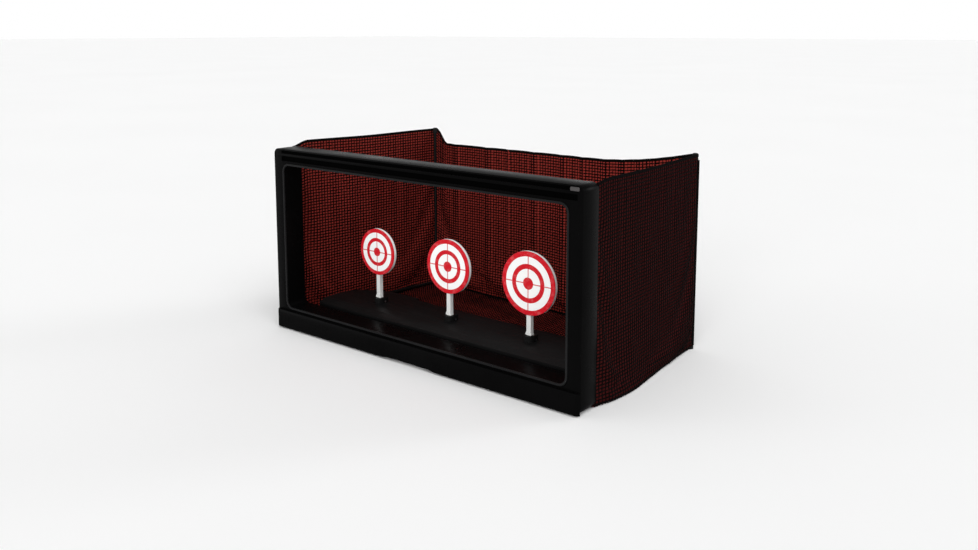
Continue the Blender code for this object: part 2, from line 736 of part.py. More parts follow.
def net_panels():
    clear = ROD_RADIUS + NET_CLEAR
    front = back(FRAME_DEPTH + NET_GAP)
    left_x, left_y = rear_corner(-1)
    right_x, right_y = rear_corner(1)
    front_x = FRAME_WIDTH / 2 - NET_THICKNESS
    low = ROD_HEIGHT + ROD_RADIUS + NET_LOW
    left_end, right_end = (left_x - NET_CLEAR / 2, left_y - clear), (right_x + NET_CLEAR, right_y - clear)
    net_panel("net_left", (-front_x, front), left_end, low, NET_TOP, NET_TOP)
    net_panel("net_right", (front_x, front), right_end, low, NET_TOP, NET_TOP)
    drop = NET_TOP - NET_REAR_TOP
    net_panel(
        "net_rear", (left_x + clear, left_y), (right_x - clear, right_y), low, NET_TOP, NET_TOP, drop,
    )  # fmt: skip
    side = BASE_WIDTH / 2 + FLOOR_CLEAR
    step_x = HOUSING_RIGHT_X + FLOOR_CLEAR
    behind_housing, behind_base = back(HOUSING_REAR + FLOOR_CLEAR), back(BASE_REAR + FLOOR_CLEAR)
    floor = [
        (-front_x + FLOOR_INSET, front), (-side, front), (-side, behind_housing),
        (step_x, behind_housing), (step_x, behind_base), (side, behind_base), (side, front),
        (front_x - FLOOR_INSET, front), (right_x - FLOOR_CORNER, right_y - FLOOR_INSET),
        (left_x + FLOOR_CORNER, left_y - FLOOR_INSET),
    ]  # fmt: skip
    plate("net_floor", [floor], "XY", FLOOR_LOW, FLOOR_LOW + NET_THICKNESS, NET_MESH)


# ---- Base unit ----
def base_outline(inset):
    """The base unit's plan, anticlockwise from its front left corner."""
    half = BASE_WIDTH / 2 - inset
    front, rear = BASE_FRONT + inset, BASE_REAR - inset
    housing = HOUSING_REAR - inset
    turn_x, turn_y = HOUSING_CORNER_X, HOUSING_CORNER_Y
    points = [(-half, front), (half, front)]
    middle = (half - BASE_CORNER, rear - BASE_CORNER)
    for step in range(CORNER_STEPS + 1):
        angle = math.pi / 2 * step / CORNER_STEPS
        across, deep = BASE_CORNER * math.cos(angle), BASE_CORNER * math.sin(angle)
        points.append((middle[0] + across, middle[1] + deep))
    points += [(HOUSING_RIGHT_X - inset, rear), (HOUSING_RIGHT_X - inset, housing)]
    for step in range(HOUSING_STEPS + 1):
        angle = math.pi / 2 * (1 + step / HOUSING_STEPS)
        across, deep = half + turn_x, housing - turn_y
        points.append((turn_x + across * math.cos(angle), turn_y + deep * math.sin(angle)))
    return [(x, back(behind)) for x, behind in points]


def base_cover():
    bottom = PLATE_TOP + GAP
    cover = plate("base_cover", [base_outline(0)], "XY", FOOT_HEIGHT, BASE_TOP, BLACK_PLASTIC)
    soften(cover, COVER_ROUNDING, 2, SPLIT_ANGLE)
    ledge_low = BASE_TOP - LEDGE_DROP
    ledge_front, ledge_rear = back(BASE_FRONT - DEEP_OVERCUT), back(BASE_FRONT + LEDGE_DEPTH)
    wedge = [
        (ledge_front, ledge_low - LEDGE_LIP), (ledge_rear, BASE_TOP),
        (ledge_rear, BASE_TOP + DEEP_OVERCUT), (ledge_front, BASE_TOP + DEEP_OVERCUT),
    ]  # fmt: skip
    cut(cover, plate("ledge_wedge", [wedge], "YZ", -BASE_WIDTH, BASE_WIDTH))
    low_ceiling = ledge_low - BASE_WALL
    below = FOOT_HEIGHT - DEEP_OVERCUT
    cut(cover, plate("cover_hollow", [base_outline(BASE_WALL)], "XY", below, low_ceiling))
    deep_x = BASE_WIDTH / 2 - BASE_WALL - UPPER_INSET
    upper_front = back(BASE_FRONT + LEDGE_DEPTH + BASE_WALL)
    upper_rear = back(BASE_REAR - BASE_WALL - SINK)
    upper = [
        (-deep_x, upper_front), (deep_x, upper_front), (deep_x, upper_rear),
        (UPPER_CORNER_X, upper_rear), (-deep_x, back(HOUSING_CORNER_Y)),
    ]  # fmt: skip
    cut(cover, plate("cover_upper_hollow", [upper], "XY", low_ceiling - DEEP_OVERCUT, INNER_TOP))
    for number, x in enumerate(TARGET_X, 1):
        corners = ((x - BOSS_HALF_WIDTH, back(BOSS_FRONT)), (x + BOSS_HALF_WIDTH, back(BOSS_REAR)))
        foot = rounded(*corners, BOSS_ROUNDING, 4)
        unite(cover, plate(f"foot_boss_{number}", [foot], "XY", BASE_TOP - OVERCUT, BOSS_TOP))
        stem_slots(cover, number, x)
    half_width, half_height = SWITCH_WINDOW
    low = (SWITCH_X - half_width, back(BASE_REAR - 3 * BASE_WALL), SWITCH_HEIGHT - half_height)
    high_x = SWITCH_X + half_width + SWITCH_TRAVEL
    high = (high_x, back(BASE_REAR + DEEP_OVERCUT), SWITCH_HEIGHT + half_height)
    cut(cover, block("switch_window", low, high))
    for number, (x, behind) in enumerate(BASE_SCREWS):
        ceiling = low_ceiling if behind < BASE_FRONT + LEDGE_DEPTH + 2 * POST_RADIUS else INNER_TOP
        length = ceiling + OVERCUT - bottom
        place = (x, back(behind), bottom + length / 2)
        unite(cover, rod(f"cover_post_{number}", place, POST_RADIUS, length, "Z", sides=POST_SIDES))
        hole, bore = (x, back(behind), bottom + HOLE_LENGTH / 2 - OVERCUT), SCREW_RADIUS + GAP
        cut(cover, rod(f"cover_post_hole_{number}", hole, bore, HOLE_LENGTH, "Z", sides=SMALL_SIDES))
    for side in (-1, 1):
        x, half = side * TONGUE_X, TONGUE_HALF + GAP
        low = (x - half, back(BASE_FRONT - DEEP_OVERCUT), below)
        high = (x + half, back(BASE_FRONT + BASE_WALL + OVERCUT), PLATE_TOP - TONGUE_DROP + GAP)
        cut(cover, block(f"tongue_way_{side}", low, high))
    return cover


def stem_slots(cover, number, x):
    """The slots that a target's heel, stem and flared foot swing in, and its pin's hole."""
    half = STEM_WIDTH / 2 + SLOT_PLAY
    heel_front = back(PIVOT_BEHIND - HEEL_LENGTH - 3 * GAP)
    heel_rear = back(PIVOT_BEHIND + HUB_RADIUS + 2 * GAP)
    heel_low, heel_high = (x - half, heel_front, HEEL_SLOT_LOW), (x + half, heel_rear, STOP_HEIGHT)
    rear, high = back(BOSS_REAR + DEEP_OVERCUT), BOSS_TOP + DEEP_OVERCUT
    stem_front = back(PIVOT_BEHIND - STEM_OFFSET - STEM_DEPTH / 2 - GAP)
    stem_low = (x - half, stem_front, PIVOT_HEIGHT - SLOT_PLAY)
    wide = STEM_WIDTH / 2 + FLARE_SIDE + GAP
    flare_low = (x - wide, back(PIVOT_BEHIND + FLARE_WAY_BEHIND), PIVOT_HEIGHT + FLARE_WAY_HEIGHT)
    cut(cover, block(f"heel_slot_{number}", heel_low, heel_high))
    cut(cover, block(f"stem_slot_{number}", stem_low, (x + half, rear, high)))
    cut(cover, block(f"flare_way_{number}", flare_low, (x + wide, rear, high)))
    place = (x, back(PIVOT_BEHIND), PIVOT_HEIGHT)
    cut(cover, rod(f"pin_hole_{number}", place, PIVOT_RADIUS + GAP, THROUGH, "X", sides=PIN_SIDES))


def battery_opening(grow):
    length = CELL_COUNT * (CELL_LENGTH + GAP) + BAY_SPARE
    low = (BATTERY_LEFT_X - grow, back(CELL_BEHIND - CELL_RADIUS - grow))
    high = (BATTERY_LEFT_X + length + grow, back(CELL_BEHIND + CELL_RADIUS + grow))
    return low, high


def base_plate():
    made = plate("base_plate", [base_outline(BASE_WALL + GAP)], "XY", FOOT_HEIGHT, PLATE_TOP, DARK_PLASTIC)
    low, high = battery_opening(BAY_WALL)
    wall = block("bay_wall", (*low, PLATE_TOP - SINK), (*high, PLATE_TOP + BAY_WALL_HEIGHT))
    unite(made, wall)
    low, high = battery_opening(BAY_CLEAR)
    cut(made, block("bay_hollow", (*low, FOOT_HEIGHT - OVERCUT), (*high, PLATE_TOP + THROUGH)))
    for number, x in enumerate(SHAFT_POSTS):
        front, rear = back(SHAFT_BEHIND - SHAFT_POST_HALF_DEPTH), back(SHAFT_BEHIND + SHAFT_POST_HALF_DEPTH)
        low = (x - SHAFT_POST_HALF_WIDTH, front, PLATE_TOP - SINK)
        high = (x + SHAFT_POST_HALF_WIDTH, rear, SHAFT_HEIGHT + SHAFT_POST_TOP)
        unite(made, block(f"shaft_post_{number}", low, high))
        place, bore = (x, back(SHAFT_BEHIND), SHAFT_HEIGHT), SHAFT_RADIUS + SHAFT_PLAY
        cut(made, rod(f"shaft_bore_{number}", place, bore, THROUGH / 2, "X", sides=SHAFT_SIDES))
    for number, (x, behind) in enumerate(BASE_SCREWS):
        place, bore = (x, back(behind), FOOT_HEIGHT), SCREW_RADIUS + GAP
        cut(made, rod(f"plate_screw_hole_{number}", place, bore, THROUGH / 2, "Z", sides=PIN_SIDES))
    for side in (-1, 1):
        x, rear = side * TONGUE_X, back(BASE_FRONT + BASE_WALL + GAP + SINK)
        low = (x - TONGUE_HALF, back(FRAME_DEPTH + GAP), FOOT_HEIGHT)
        unite(made, block(f"frame_tongue_{side}", low, (x + TONGUE_HALF, rear, PLATE_TOP - TONGUE_DROP)))
    return made


def battery_parts():
    low, high = battery_opening(BAY_CLEAR - GAP)
    block("battery_door", (*low, FOOT_HEIGHT), (*high, PLATE_TOP - GAP), DARK_PLASTIC)
    first = BATTERY_LEFT_X + CELL_FIRST
    jacket_length = CELL_LENGTH - CELL_TIP
    for number in range(CELL_COUNT):
        x = first + number * (CELL_LENGTH + GAP)
        place = (x + jacket_length / 2, back(CELL_BEHIND), CELL_HEIGHT)
        name = f"battery_cell_{number + 1}"
        cell = rod(name, place, CELL_RADIUS, jacket_length, "X", CELL_JACKET, FOOT_SIDES)
        tip = (x + jacket_length + SINK, back(CELL_BEHIND), CELL_HEIGHT)
        unite(cell, rod(f"cell_tip_{number}", tip, CELL_TIP_RADIUS, CELL_TIP_LENGTH, "X", sides=PIN_SIDES))
    end = first + CELL_COUNT * (CELL_LENGTH + GAP)
    for word, x in (("left", BATTERY_LEFT_X + CONTACT_SIDE), ("right", end + CONTACT_SIDE)):
        low = (x, back(CELL_BEHIND - CONTACT_HALF), CELL_HEIGHT - CONTACT_HALF)
        high = (x + CONTACT_THICKNESS, back(CELL_BEHIND + CONTACT_HALF), CELL_HEIGHT + CONTACT_TOP)
        block(f"battery_contact_{word}", low, high, STEEL)


# ---- Targets ----
def target(number, x, diameter):
    """One target: its stem with hub and heel, its disc and the screw that holds the disc."""
    stem_y = back(PIVOT_BEHIND - STEM_OFFSET)
    pivot_y = back(PIVOT_BEHIND)
    disc_back = stem_y - STEM_DEPTH / 2 + DISC_THICKNESS - DISC_SEAT
    disc_bottom = DISC_HEIGHT - diameter / 2
    half = STEM_WIDTH / 2
    name = f"target_{number}"
    stem = block(
        f"{name}_stem", (x - half, stem_y - STEM_DEPTH / 2, PIVOT_HEIGHT),
        (x + half, stem_y + STEM_DEPTH / 2, disc_bottom - GAP), WHITE_PLASTIC,
    )  # fmt: skip
    slim = half - RIB_INSET
    rib = block(
        f"{name}_rib", (x - slim, disc_back + GAP, disc_bottom - RIB_REACH),
        (x + slim, disc_back + GAP + RIB_DEPTH, DISC_HEIGHT + RIB_REACH),
    )  # fmt: skip
    unite(stem, rib)
    bore = (x, pivot_y, PIVOT_HEIGHT)
    unite(stem, rod(f"{name}_hub", bore, HUB_RADIUS, STEM_WIDTH - HUB_RELIEF, "X", sides=SHAFT_SIDES))
    inset = half - HEEL_INSET
    heel = block(
        f"{name}_heel", (x - inset, pivot_y - HEEL_DEPTH / 2, PIVOT_HEIGHT - HEEL_LENGTH),
        (x + inset, pivot_y + HEEL_DEPTH / 2, PIVOT_HEIGHT),
    )  # fmt: skip
    unite(stem, heel)
    wide = half + FLARE_SIDE
    slim = half - FLARE_INSET
    flare_low, flare_high = BOSS_TOP + FLARE_LIFT, BOSS_TOP + FLARE_HEIGHT
    flare = [
        (x - wide, flare_low), (x + wide, flare_low), (x + wide, flare_low + FLARE_BAND),
        (x + slim, flare_high), (x - slim, flare_high), (x - wide, flare_low + FLARE_BAND),
    ]  # fmt: skip
    flare_front, flare_rear = stem_y - STEM_DEPTH / 2 - FLARE_LIFT, stem_y + FLARE_REAR
    unite(stem, plate(f"{name}_flare", [flare], "XZ", flare_front, flare_rear))
    cut(stem, rod(f"{name}_bore", bore, PIVOT_RADIUS + SHAFT_PLAY, THROUGH, "X", sides=POST_SIDES))
    seat = (x, disc_back, DISC_HEIGHT)
    screw_bore = DISC_SCREW_RADIUS + GAP
    cut(stem, rod(f"{name}_screw_way", seat, screw_bore, THROUGH, "Y", sides=TINY_SIDES))
    face = (x, disc_back - DISC_THICKNESS / 2, DISC_HEIGHT)
    disc = rod(f"{name}_disc", face, diameter / 2, DISC_THICKNESS, "Y", TARGET_FACE, DISC_SIDES)
    soften(disc, SMALL_ROUNDING, 1)
    hole_length = 2 * (DISC_THICKNESS - DISC_SEAT) - GAP
    cut(disc, rod(f"{name}_disc_hole", seat, screw_bore, hole_length, "Y", sides=TINY_SIDES))
    head_y = disc_back + 2 * GAP + RIB_DEPTH + DISC_SCREW_HEIGHT / 2
    head = (x, head_y, DISC_HEIGHT)
    screw = rod(
        f"{name}_screw", head, DISC_SCREW_HEAD, DISC_SCREW_HEIGHT, "Y", STEEL, PIN_SIDES, DISC_SCREW_TOP,
    )  # fmt: skip
    shank = (x, head_y - DISC_SCREW_LENGTH / 2, DISC_HEIGHT)
    unite(screw, rod(f"{name}_shank", shank, DISC_SCREW_RADIUS, DISC_SCREW_LENGTH, "Y", sides=TINY_SIDES))
    axis = pivot(f"{name}_axis", (x, pivot_y, PIVOT_HEIGHT))
    hang(axis, stem, disc, screw)


def pivot_pins():
    for number, x in enumerate(TARGET_X, 1):
        place = (x, back(PIVOT_BEHIND), PIVOT_HEIGHT)
        length = 2 * BOSS_HALF_WIDTH - 2 * GAP
        rod(f"pivot_pin_{number}", place, PIVOT_RADIUS, length, "X", STEEL, PIN_SIDES)


# ---- Reset drive ----
def reset_drive():
    shaft_place = (back(SHAFT_BEHIND), SHAFT_HEIGHT)
    axis = pivot("reset_axis", (0, *shaft_place))
    middle, length = ((BAR_LEFT + BAR_RIGHT) / 2, *shaft_place), BAR_RIGHT - BAR_LEFT
    bar = rod("reset_bar", middle, SHAFT_RADIUS, length, "X", GEAR_PLASTIC, SHAFT_SIDES)
    lean = math.radians(FINGER_LEAN)
    for number, x in enumerate(TARGET_X, 1):
        place = (x + FINGER_SIDE + FINGER_HUB_SHIFT, *shaft_place)
        hub = (place, FINGER_HUB_RADIUS, FINGER_HUB_LENGTH)
        unite(bar, rod(f"finger_hub_{number}", *hub, "X", sides=SHAFT_SIDES))
        low = (-FINGER_HALF_WIDTH, -FINGER_HALF_DEPTH, FINGER_HUB_SHIFT)
        high = (FINGER_HALF_WIDTH, FINGER_HALF_DEPTH, FINGER_LENGTH)
        blade = block(f"finger_blade_{number}", low, high)
        root = Matrix.Translation((x + FINGER_SIDE, *shaft_place))
        blade.matrix_world = root @ Matrix.Rotation(lean, 4, "X") @ Matrix.Translation(blade.location)
        unite(bar, blade)
    sweep = 2 * FINGER_LEAN
    outline = gear_outline(SECTOR_TEETH, shaft_place, 0.0, -SECTOR_MARGIN, sweep + SECTOR_MARGIN)
    left, right = SECTOR_PLANE - SECTOR_HALF, SECTOR_PLANE + SECTOR_HALF
    sector = plate("sector_gear", [outline], "YZ", left, right, GEAR_PLASTIC)
    place = (SECTOR_PLANE, *shaft_place)
    cut(sector, rod("sector_bore", place, SHAFT_RADIUS + GAP, THROUGH, "X", sides=SHAFT_SIDES))
    hang(axis, bar, sector)


def gear_train():
    wheel_place = (back(PINION_BEHIND), SHAFT_HEIGHT)
    motor_place = (back(MOTOR_BEHIND), MOTOR_HEIGHT)
    towards_sector = math.pi
    pinion = gear_outline(PINION_TEETH, wheel_place, towards_sector + math.pi / PINION_TEETH)
    aim = math.atan2(motor_place[1] - wheel_place[1], motor_place[0] - wheel_place[0])
    wheel = gear_outline(WHEEL_TEETH, wheel_place, aim)
    low_x, high_x = WHEEL_PLANE - WHEEL_HALF, WHEEL_PLANE + WHEEL_HALF
    made = plate("compound_gear", [wheel], "YZ", low_x, high_x, GEAR_PLASTIC)
    unite(made, plate("pinion_teeth", [pinion], "YZ", high_x - SINK, SECTOR_PLANE + PINION_REACH))
    bore = (WHEEL_PLANE, *wheel_place)
    cut(made, rod("compound_bore", bore, GEAR_PIN_RADIUS + SHAFT_PLAY, 2 * THROUGH, "X", sides=PIN_SIDES))
    pin_left, pin_right = WHEEL_PLANE - GEAR_PIN_LEFT, SECTOR_PLANE + GEAR_PIN_RIGHT
    pin_middle = ((pin_left + pin_right) / 2, *wheel_place)
    rod("gear_pin", pin_middle, GEAR_PIN_RADIUS, pin_right - pin_left, "X", STEEL, PIN_SIDES)
    hang(pivot("wheel_axis", bore), made)
    drive = gear_outline(MOTOR_TEETH, motor_place, aim + math.pi + math.pi / MOTOR_TEETH)
    low_x, high_x = WHEEL_PLANE - MOTOR_PINION_HALF, WHEEL_PLANE + MOTOR_PINION_HALF
    motor_pinion = plate("motor_pinion", [drive], "YZ", low_x, high_x, BRASS)
    middle = (WHEEL_PLANE - SPINDLE_SHIFT, *motor_place)
    unite(motor_pinion, rod("spindle", middle, SPINDLE_RADIUS, SPINDLE_LENGTH, "X", sides=PIN_SIDES))
    hang(pivot("motor_axis", (WHEEL_PLANE, *motor_place)), motor_pinion)


def motor():
    y, z = back(MOTOR_BEHIND), MOTOR_HEIGHT
    right = MOTOR_RIGHT_X - MOTOR_NOSE
    place = (right - MOTOR_LENGTH / 2, y, z)
    can = rod("motor", place, MOTOR_RADIUS, MOTOR_LENGTH, "X", STEEL, MOTOR_SIDES)
    for side in (-1, 1):
        low, high = sorted((z + side * MOTOR_FLAT, z + side * (MOTOR_FLAT + MOTOR_RADIUS)))
        near = (right - 2 * MOTOR_LENGTH, y - 2 * MOTOR_RADIUS, low)
        far = (right + MOTOR_LENGTH, y + 2 * MOTOR_RADIUS, high)
        cut(can, block(f"motor_flat_{side}", near, far))
    bore = SPINDLE_RADIUS + SHAFT_PLAY
    cut(can, rod("motor_bore", (right, y, z), bore, MOTOR_BORE_LENGTH, "X", sides=PIN_SIDES))
    return can


def gearbox_frame():
    """Two cheeks that carry the gear pin and the motor's nose, joined low down behind the gears."""
    wheel = (back(PINION_BEHIND), SHAFT_HEIGHT)
    spindle = (back(MOTOR_BEHIND), MOTOR_HEIGHT)
    left, right = WHEEL_PLANE - CHEEK_LEFT, SECTOR_PLANE + CHEEK_RIGHT
    low_y, high_y = back(PINION_BEHIND - CHEEK_FRONT), back(BASE_REAR - BASE_WALL - OVERCUT)
    low_z, high_z = PLATE_TOP + GAP, INNER_TOP - CHEEK_DROP
    cheeks = [
        ((x - CHEEK_HALF, low_y, low_z), (x + CHEEK_HALF, high_y, high_z)) for x in (left, right)
    ]
    frame = block("gearbox_frame", *cheeks[0], DARK_PLASTIC)
    unite(frame, block("gearbox_cheek", *cheeks[1]))
    bridge_low, bridge_high = (left, high_y - BRIDGE_DEPTH, low_z), (right, high_y, low_z + BRIDGE_HEIGHT)
    unite(frame, block("gearbox_bridge", bridge_low, bridge_high))
    through = 4 * CHEEK_HALF + OVERCUT
    for word, x in (("left", left), ("right", right)):
        bore = GEAR_PIN_RADIUS + GAP
        cut(frame, rod(f"gearbox_pin_{word}", (x, *wheel), bore, through, "X", sides=PIN_SIDES))
    bore = SPINDLE_RADIUS + 2 * GAP
    cut(frame, rod("gearbox_nose", (left, *spindle), bore, through, "X", sides=POST_SIDES))
    return frame


# ---- Switch, board and small parts ----
def switch_parts():
    rear = back(BASE_REAR - BASE_WALL - GAP)
    half_width, depth, half_height = SWITCH_BODY
    low = (SWITCH_X - half_width, rear - depth, SWITCH_HEIGHT - half_height)
    high = (SWITCH_X + half_width + SWITCH_TRAVEL, rear, SWITCH_HEIGHT + half_height)
    body = block("switch_body", low, high, DARK_PLASTIC)
    half_width, depth, half_height = SWITCH_TRACK
    play = GAP * 1.5
    low = (SWITCH_X - half_width - play, rear - depth, SWITCH_HEIGHT - half_height - GAP)
    high_x = SWITCH_X + half_width + SWITCH_TRAVEL + play
    high = (high_x, rear + OVERCUT, SWITCH_HEIGHT + half_height + GAP)
    cut(body, block("switch_track", low, high))
    half_width, depth, half_height = SWITCH_KNOB
    low = (SWITCH_X - half_width, rear - depth, SWITCH_HEIGHT - half_height)
    high = (SWITCH_X + half_width, back(BASE_REAR + KNOB_PROUD), SWITCH_HEIGHT + half_height)
    knob = soften(block("switch_knob", low, high, GREY_PLASTIC), SMALL_ROUNDING, 1)
    hang(pivot("switch_axis", (SWITCH_X, rear, SWITCH_HEIGHT)), knob)


def contact_block(name, sides, behind, drops, finish=None):
    """A flat bit of contact strip between two X values, under the cover's top."""
    low = (sides[0], back(PIVOT_BEHIND + behind[0]), INNER_TOP - drops[0])
    high = (sides[1], back(PIVOT_BEHIND + behind[1]), INNER_TOP - drops[1])
    return block(name, low, high, finish)


def board_and_contacts():
    low = (BOARD_X[0], back(BOARD_BEHIND[0]), PLATE_TOP + BOARD_HEIGHT[0])
    high = (BOARD_X[1], back(BOARD_BEHIND[1]), PLATE_TOP + BOARD_HEIGHT[1])
    block("circuit_board", low, high, BOARD_GREEN)
    ends = (TARGET_X[0] - TAB_X[0], TARGET_X[-1] - TAB_X[1])
    strip = contact_block("contact_strip", ends, STRIP_BEHIND, STRIP_DROP, BRASS)
    for number, x in enumerate(TARGET_X):
        sides = (x - TAB_X[0], x - TAB_X[1])
        unite(strip, contact_block(f"contact_tab_{number}", sides, TAB_BEHIND, STRIP_DROP))
        tip_drops = (TIP_DROP, STRIP_DROP[1])
        unite(strip, contact_block(f"contact_tip_{number}", sides, TIP_BEHIND, tip_drops))


def base_screws():
    for number, (x, behind) in enumerate(BASE_SCREWS, 1):
        low, height, length = FOOT_HEIGHT - GAP, BASE_SCREW_HEIGHT, BASE_SCREW_LENGTH
        place = (x, back(behind), low - height / 2)
        below, above = BASE_SCREW_HEAD
        head = rod(f"base_screw_{number}", place, below, height, "Z", STEEL, PIN_SIDES, above)
        shank = (x, back(behind), place[2] + length / 2)
        unite(head, rod(f"base_shank_{number}", shank, SCREW_RADIUS, length, "Z", sides=TINY_SIDES))


def wire(name, points, finish):
    """A thin insulated lead held inside the base."""
    curve = bpy.data.curves.new(name, "CURVE")
    curve.dimensions = "3D"
    curve.bevel_depth = LEAD_RADIUS
    curve.bevel_resolution = 2
    curve.use_fill_caps = True
    spline = curve.splines.new("POLY")
    spline.points.add(LEAD_STEPS)
    for index, point in enumerate(spline.points):
        share = index / LEAD_STEPS
        early, late = 1 - share, share
        weights = (early**3, 3 * early**2 * late, 3 * early * late**2, late**3)
        point.co = (*[sum(w * p[i] for w, p in zip(weights, points, strict=True)) for i in range(3)], 1)
    made = bpy.data.objects.new(name, curve)
    curve.materials.append(finish)
    model.objects.link(made)
    return made


def wiring():
    motor_left = MOTOR_RIGHT_X - MOTOR_NOSE - MOTOR_LENGTH
    wire("motor_lead", [(motor_left + x, back(y), z) for x, y, z in MOTOR_LEAD], COPPER)
    wire("battery_lead", [(SWITCH_X + x, back(y), z) for x, y, z in BATTERY_LEAD], COPPER)


front_frame()
window_trim()
kick_panel()
corner_clip()
retainer_ring()
frame_screws()
rubber_feet()
net_rod("net_rod_left", -1)
net_rod("net_rod_right", 1)
rod_ends()
net_panels()
base_cover()
base_plate()
battery_parts()
for index, (place_x, across) in enumerate(zip(TARGET_X, DISC_DIAMETERS, strict=True), 1):
    target(index, place_x, across)
pivot_pins()
reset_drive()
gear_train()
motor()
gearbox_frame()
switch_parts()
board_and_contacts()
base_screws()
wiring()
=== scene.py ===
"""The look of the auto-reset target trap: plastics, mesh net, printed discs, studio and camera."""

import json
import math

import bmesh
import bpy
import numpy as np
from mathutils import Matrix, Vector, noise


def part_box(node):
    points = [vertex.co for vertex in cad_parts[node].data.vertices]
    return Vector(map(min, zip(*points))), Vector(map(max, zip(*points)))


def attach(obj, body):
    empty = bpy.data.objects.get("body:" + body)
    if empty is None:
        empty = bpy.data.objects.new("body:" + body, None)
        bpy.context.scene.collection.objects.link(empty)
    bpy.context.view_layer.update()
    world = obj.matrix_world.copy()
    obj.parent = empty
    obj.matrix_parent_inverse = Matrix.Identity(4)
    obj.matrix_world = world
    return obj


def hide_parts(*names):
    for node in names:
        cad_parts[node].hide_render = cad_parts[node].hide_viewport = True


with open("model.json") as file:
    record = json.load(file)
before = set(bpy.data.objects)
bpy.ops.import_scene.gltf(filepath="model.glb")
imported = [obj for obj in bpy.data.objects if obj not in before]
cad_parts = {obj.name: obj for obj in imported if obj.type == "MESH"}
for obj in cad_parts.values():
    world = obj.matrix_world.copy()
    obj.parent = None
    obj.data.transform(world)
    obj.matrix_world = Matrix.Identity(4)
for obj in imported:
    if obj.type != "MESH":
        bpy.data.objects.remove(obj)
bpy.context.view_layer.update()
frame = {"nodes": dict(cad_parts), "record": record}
HOUSING = "housing"

# ---- Studio ----
CAMERA_PLACE = (0.5938, -0.7381, 0.3211)
CAMERA_HEADING = math.radians(38.59)  # turned left from looking straight in through the window
CAMERA_PITCH = math.radians(7.89)  # downwards
CAMERA_LENS = 34.09
CAMERA_SHIFT = (0.001, -0.12)
# The sky's brightness at these heights, where 0 is the horizon and 1 is straight up.
SKY_HEIGHTS = (0.0, 0.035, 0.16, 1.0)
SKY_LEVELS = (1.0, 1.0, 0.60, 0.56)
FLOOR_COLOUR = (0.95, 0.95, 0.95)
FLOOR_SHADE = 0.985  # the brightness of the floor's faint clouds, as a share of its colour
FLOOR_REACH = 60.0
# Far lights: name, direction they come from, width, strength. The soft ones make the sheen on the sides.
KEY_LIGHT = ("key_sun", (0.55, -0.45, 0.95), math.radians(50), 1.15)
SOFT_LIGHTS = (
    ("left_glow", (-0.80, -0.55, 0.10), math.radians(26), 0.55),
    ("right_glow", (0.42, 0.66, 0.22), math.radians(20), 0.60),
    ("front_fill", (0.30, -0.90, 0.22), math.radians(30), 0.95),
)

# ---- Net ----
PITCH_UP = 0.0032  # between the mesh's level yarns
PITCH_ALONG = 0.0039  # between its upright yarns
THREAD_RADIUS = 0.00078
THREAD_LIFT = 0.12  # how far a yarn weaves up and down, as a share of its radius
LINING_STEP = 0.0045
CLOTH_THICKNESS = 0.0003
CLOTH_STEP = 0.0048  # between the points of the cloth that settles
CLOTH_LOW = 0.0012  # the height of the walls' feet and of the net's floor
CLOTH_FRAMES = 24
CLOTH_SLACK = 0.003  # how much longer the cloth is than the gap it spans, as a share
CLOTH_CAP = 0.0022  # no point of the settled cloth is further off its drawn place
NORMAL_STEP = 0.004  # a share of the panel
TINY = 1e-12  # keeps a division by a length from failing
TINY_MOVE = 1e-9  # and one by a move
HEM_HEIGHT = 0.0032
HEM_THICKNESS = 0.0011
HEM_STEP = 0.004
HEM_DROP = 0.35  # the hem's middle below the rim, as a share of its height
FOOT_SEAM_SHARE = 0.004  # the foot seam's place up the wall
FOOT_SEAM_THICKNESS = 0.0008
FOOT_SEAM_HEIGHT = 0.0014
SEAM_WIDTH = 0.0042
SEAM_FLATNESS = 0.6  # a corner seam's thickness, as a share of its width
SEAM_SPAN = (0.01, 0.97)  # shares up the rear wall
SEAM_POINTS = 40
BINDING_SIDES = 10
BINDING_SQUARENESS = 0.7  # 1 gives an oval section, less gives a squarer one

# ---- Discs ----
DISC_SEGMENTS = 112
DISC_WHITE = (0.93, 0.93, 0.925)
DISC_RED = (0.60, 0.006, 0.016)
DISC_SOIL = 0.93  # a soiled spot's brightness
DISC_SPECULAR = 0.10
RING_EDGES = (0.19, 0.455, 0.61, 0.84)  # shares of the radius where the print changes colour
BEYOND_RIM = 2.0
CROSS_HALF = 0.00055  # half the width of the printed cross's lines
CROSS_INK = 0.85
PRINT_FRONT = -0.0012  # the print is only on what lies in front of this, from the disc's middle
FACE_LOOPS = (0.2, 0.45, 0.7, 0.9)  # shares of the radius
DISC_EDGE = 0.0005
DISC_EDGE_STEPS = 4
DISH_START = 0.0022  # in from the rim, on the disc's rear
DISH_FOOT = 0.0026
DISH_DEPTH = 0.0011
HUB_FOOT = 0.0045  # the hub's radius where it meets the dish
HUB_RADIUS = 0.0042
DISC_SHARP = math.radians(40)


# ---- Node helpers ----
# The places of a colour mix's sockets: its share and its two colours, and its result.
MIX_COLOUR_SOCKETS = (0, 6, 7)
MIX_COLOUR_RESULT = 2


def new_material(name):
    made = bpy.data.materials.new(name)
    made.use_nodes = True
    tree = made.node_tree
    return made, tree, tree.nodes["Principled BSDF"]


def node(tree, kind, **values):
    made = tree.nodes.new(kind)
    for key, value in values.items():
        if key in made.inputs:
            made.inputs[key].default_value = value
        else:
            setattr(made, key, value)
    return made


def noise_node(tree, where, scale, detail=3.0, roughness=0.5):
    """A noise texture's value at the given coordinates."""
    made = node(tree, "ShaderNodeTexNoise", Scale=scale, Detail=detail, Roughness=roughness)
    tree.links.new(where, made.inputs["Vector"])
    return made.outputs["Fac"]


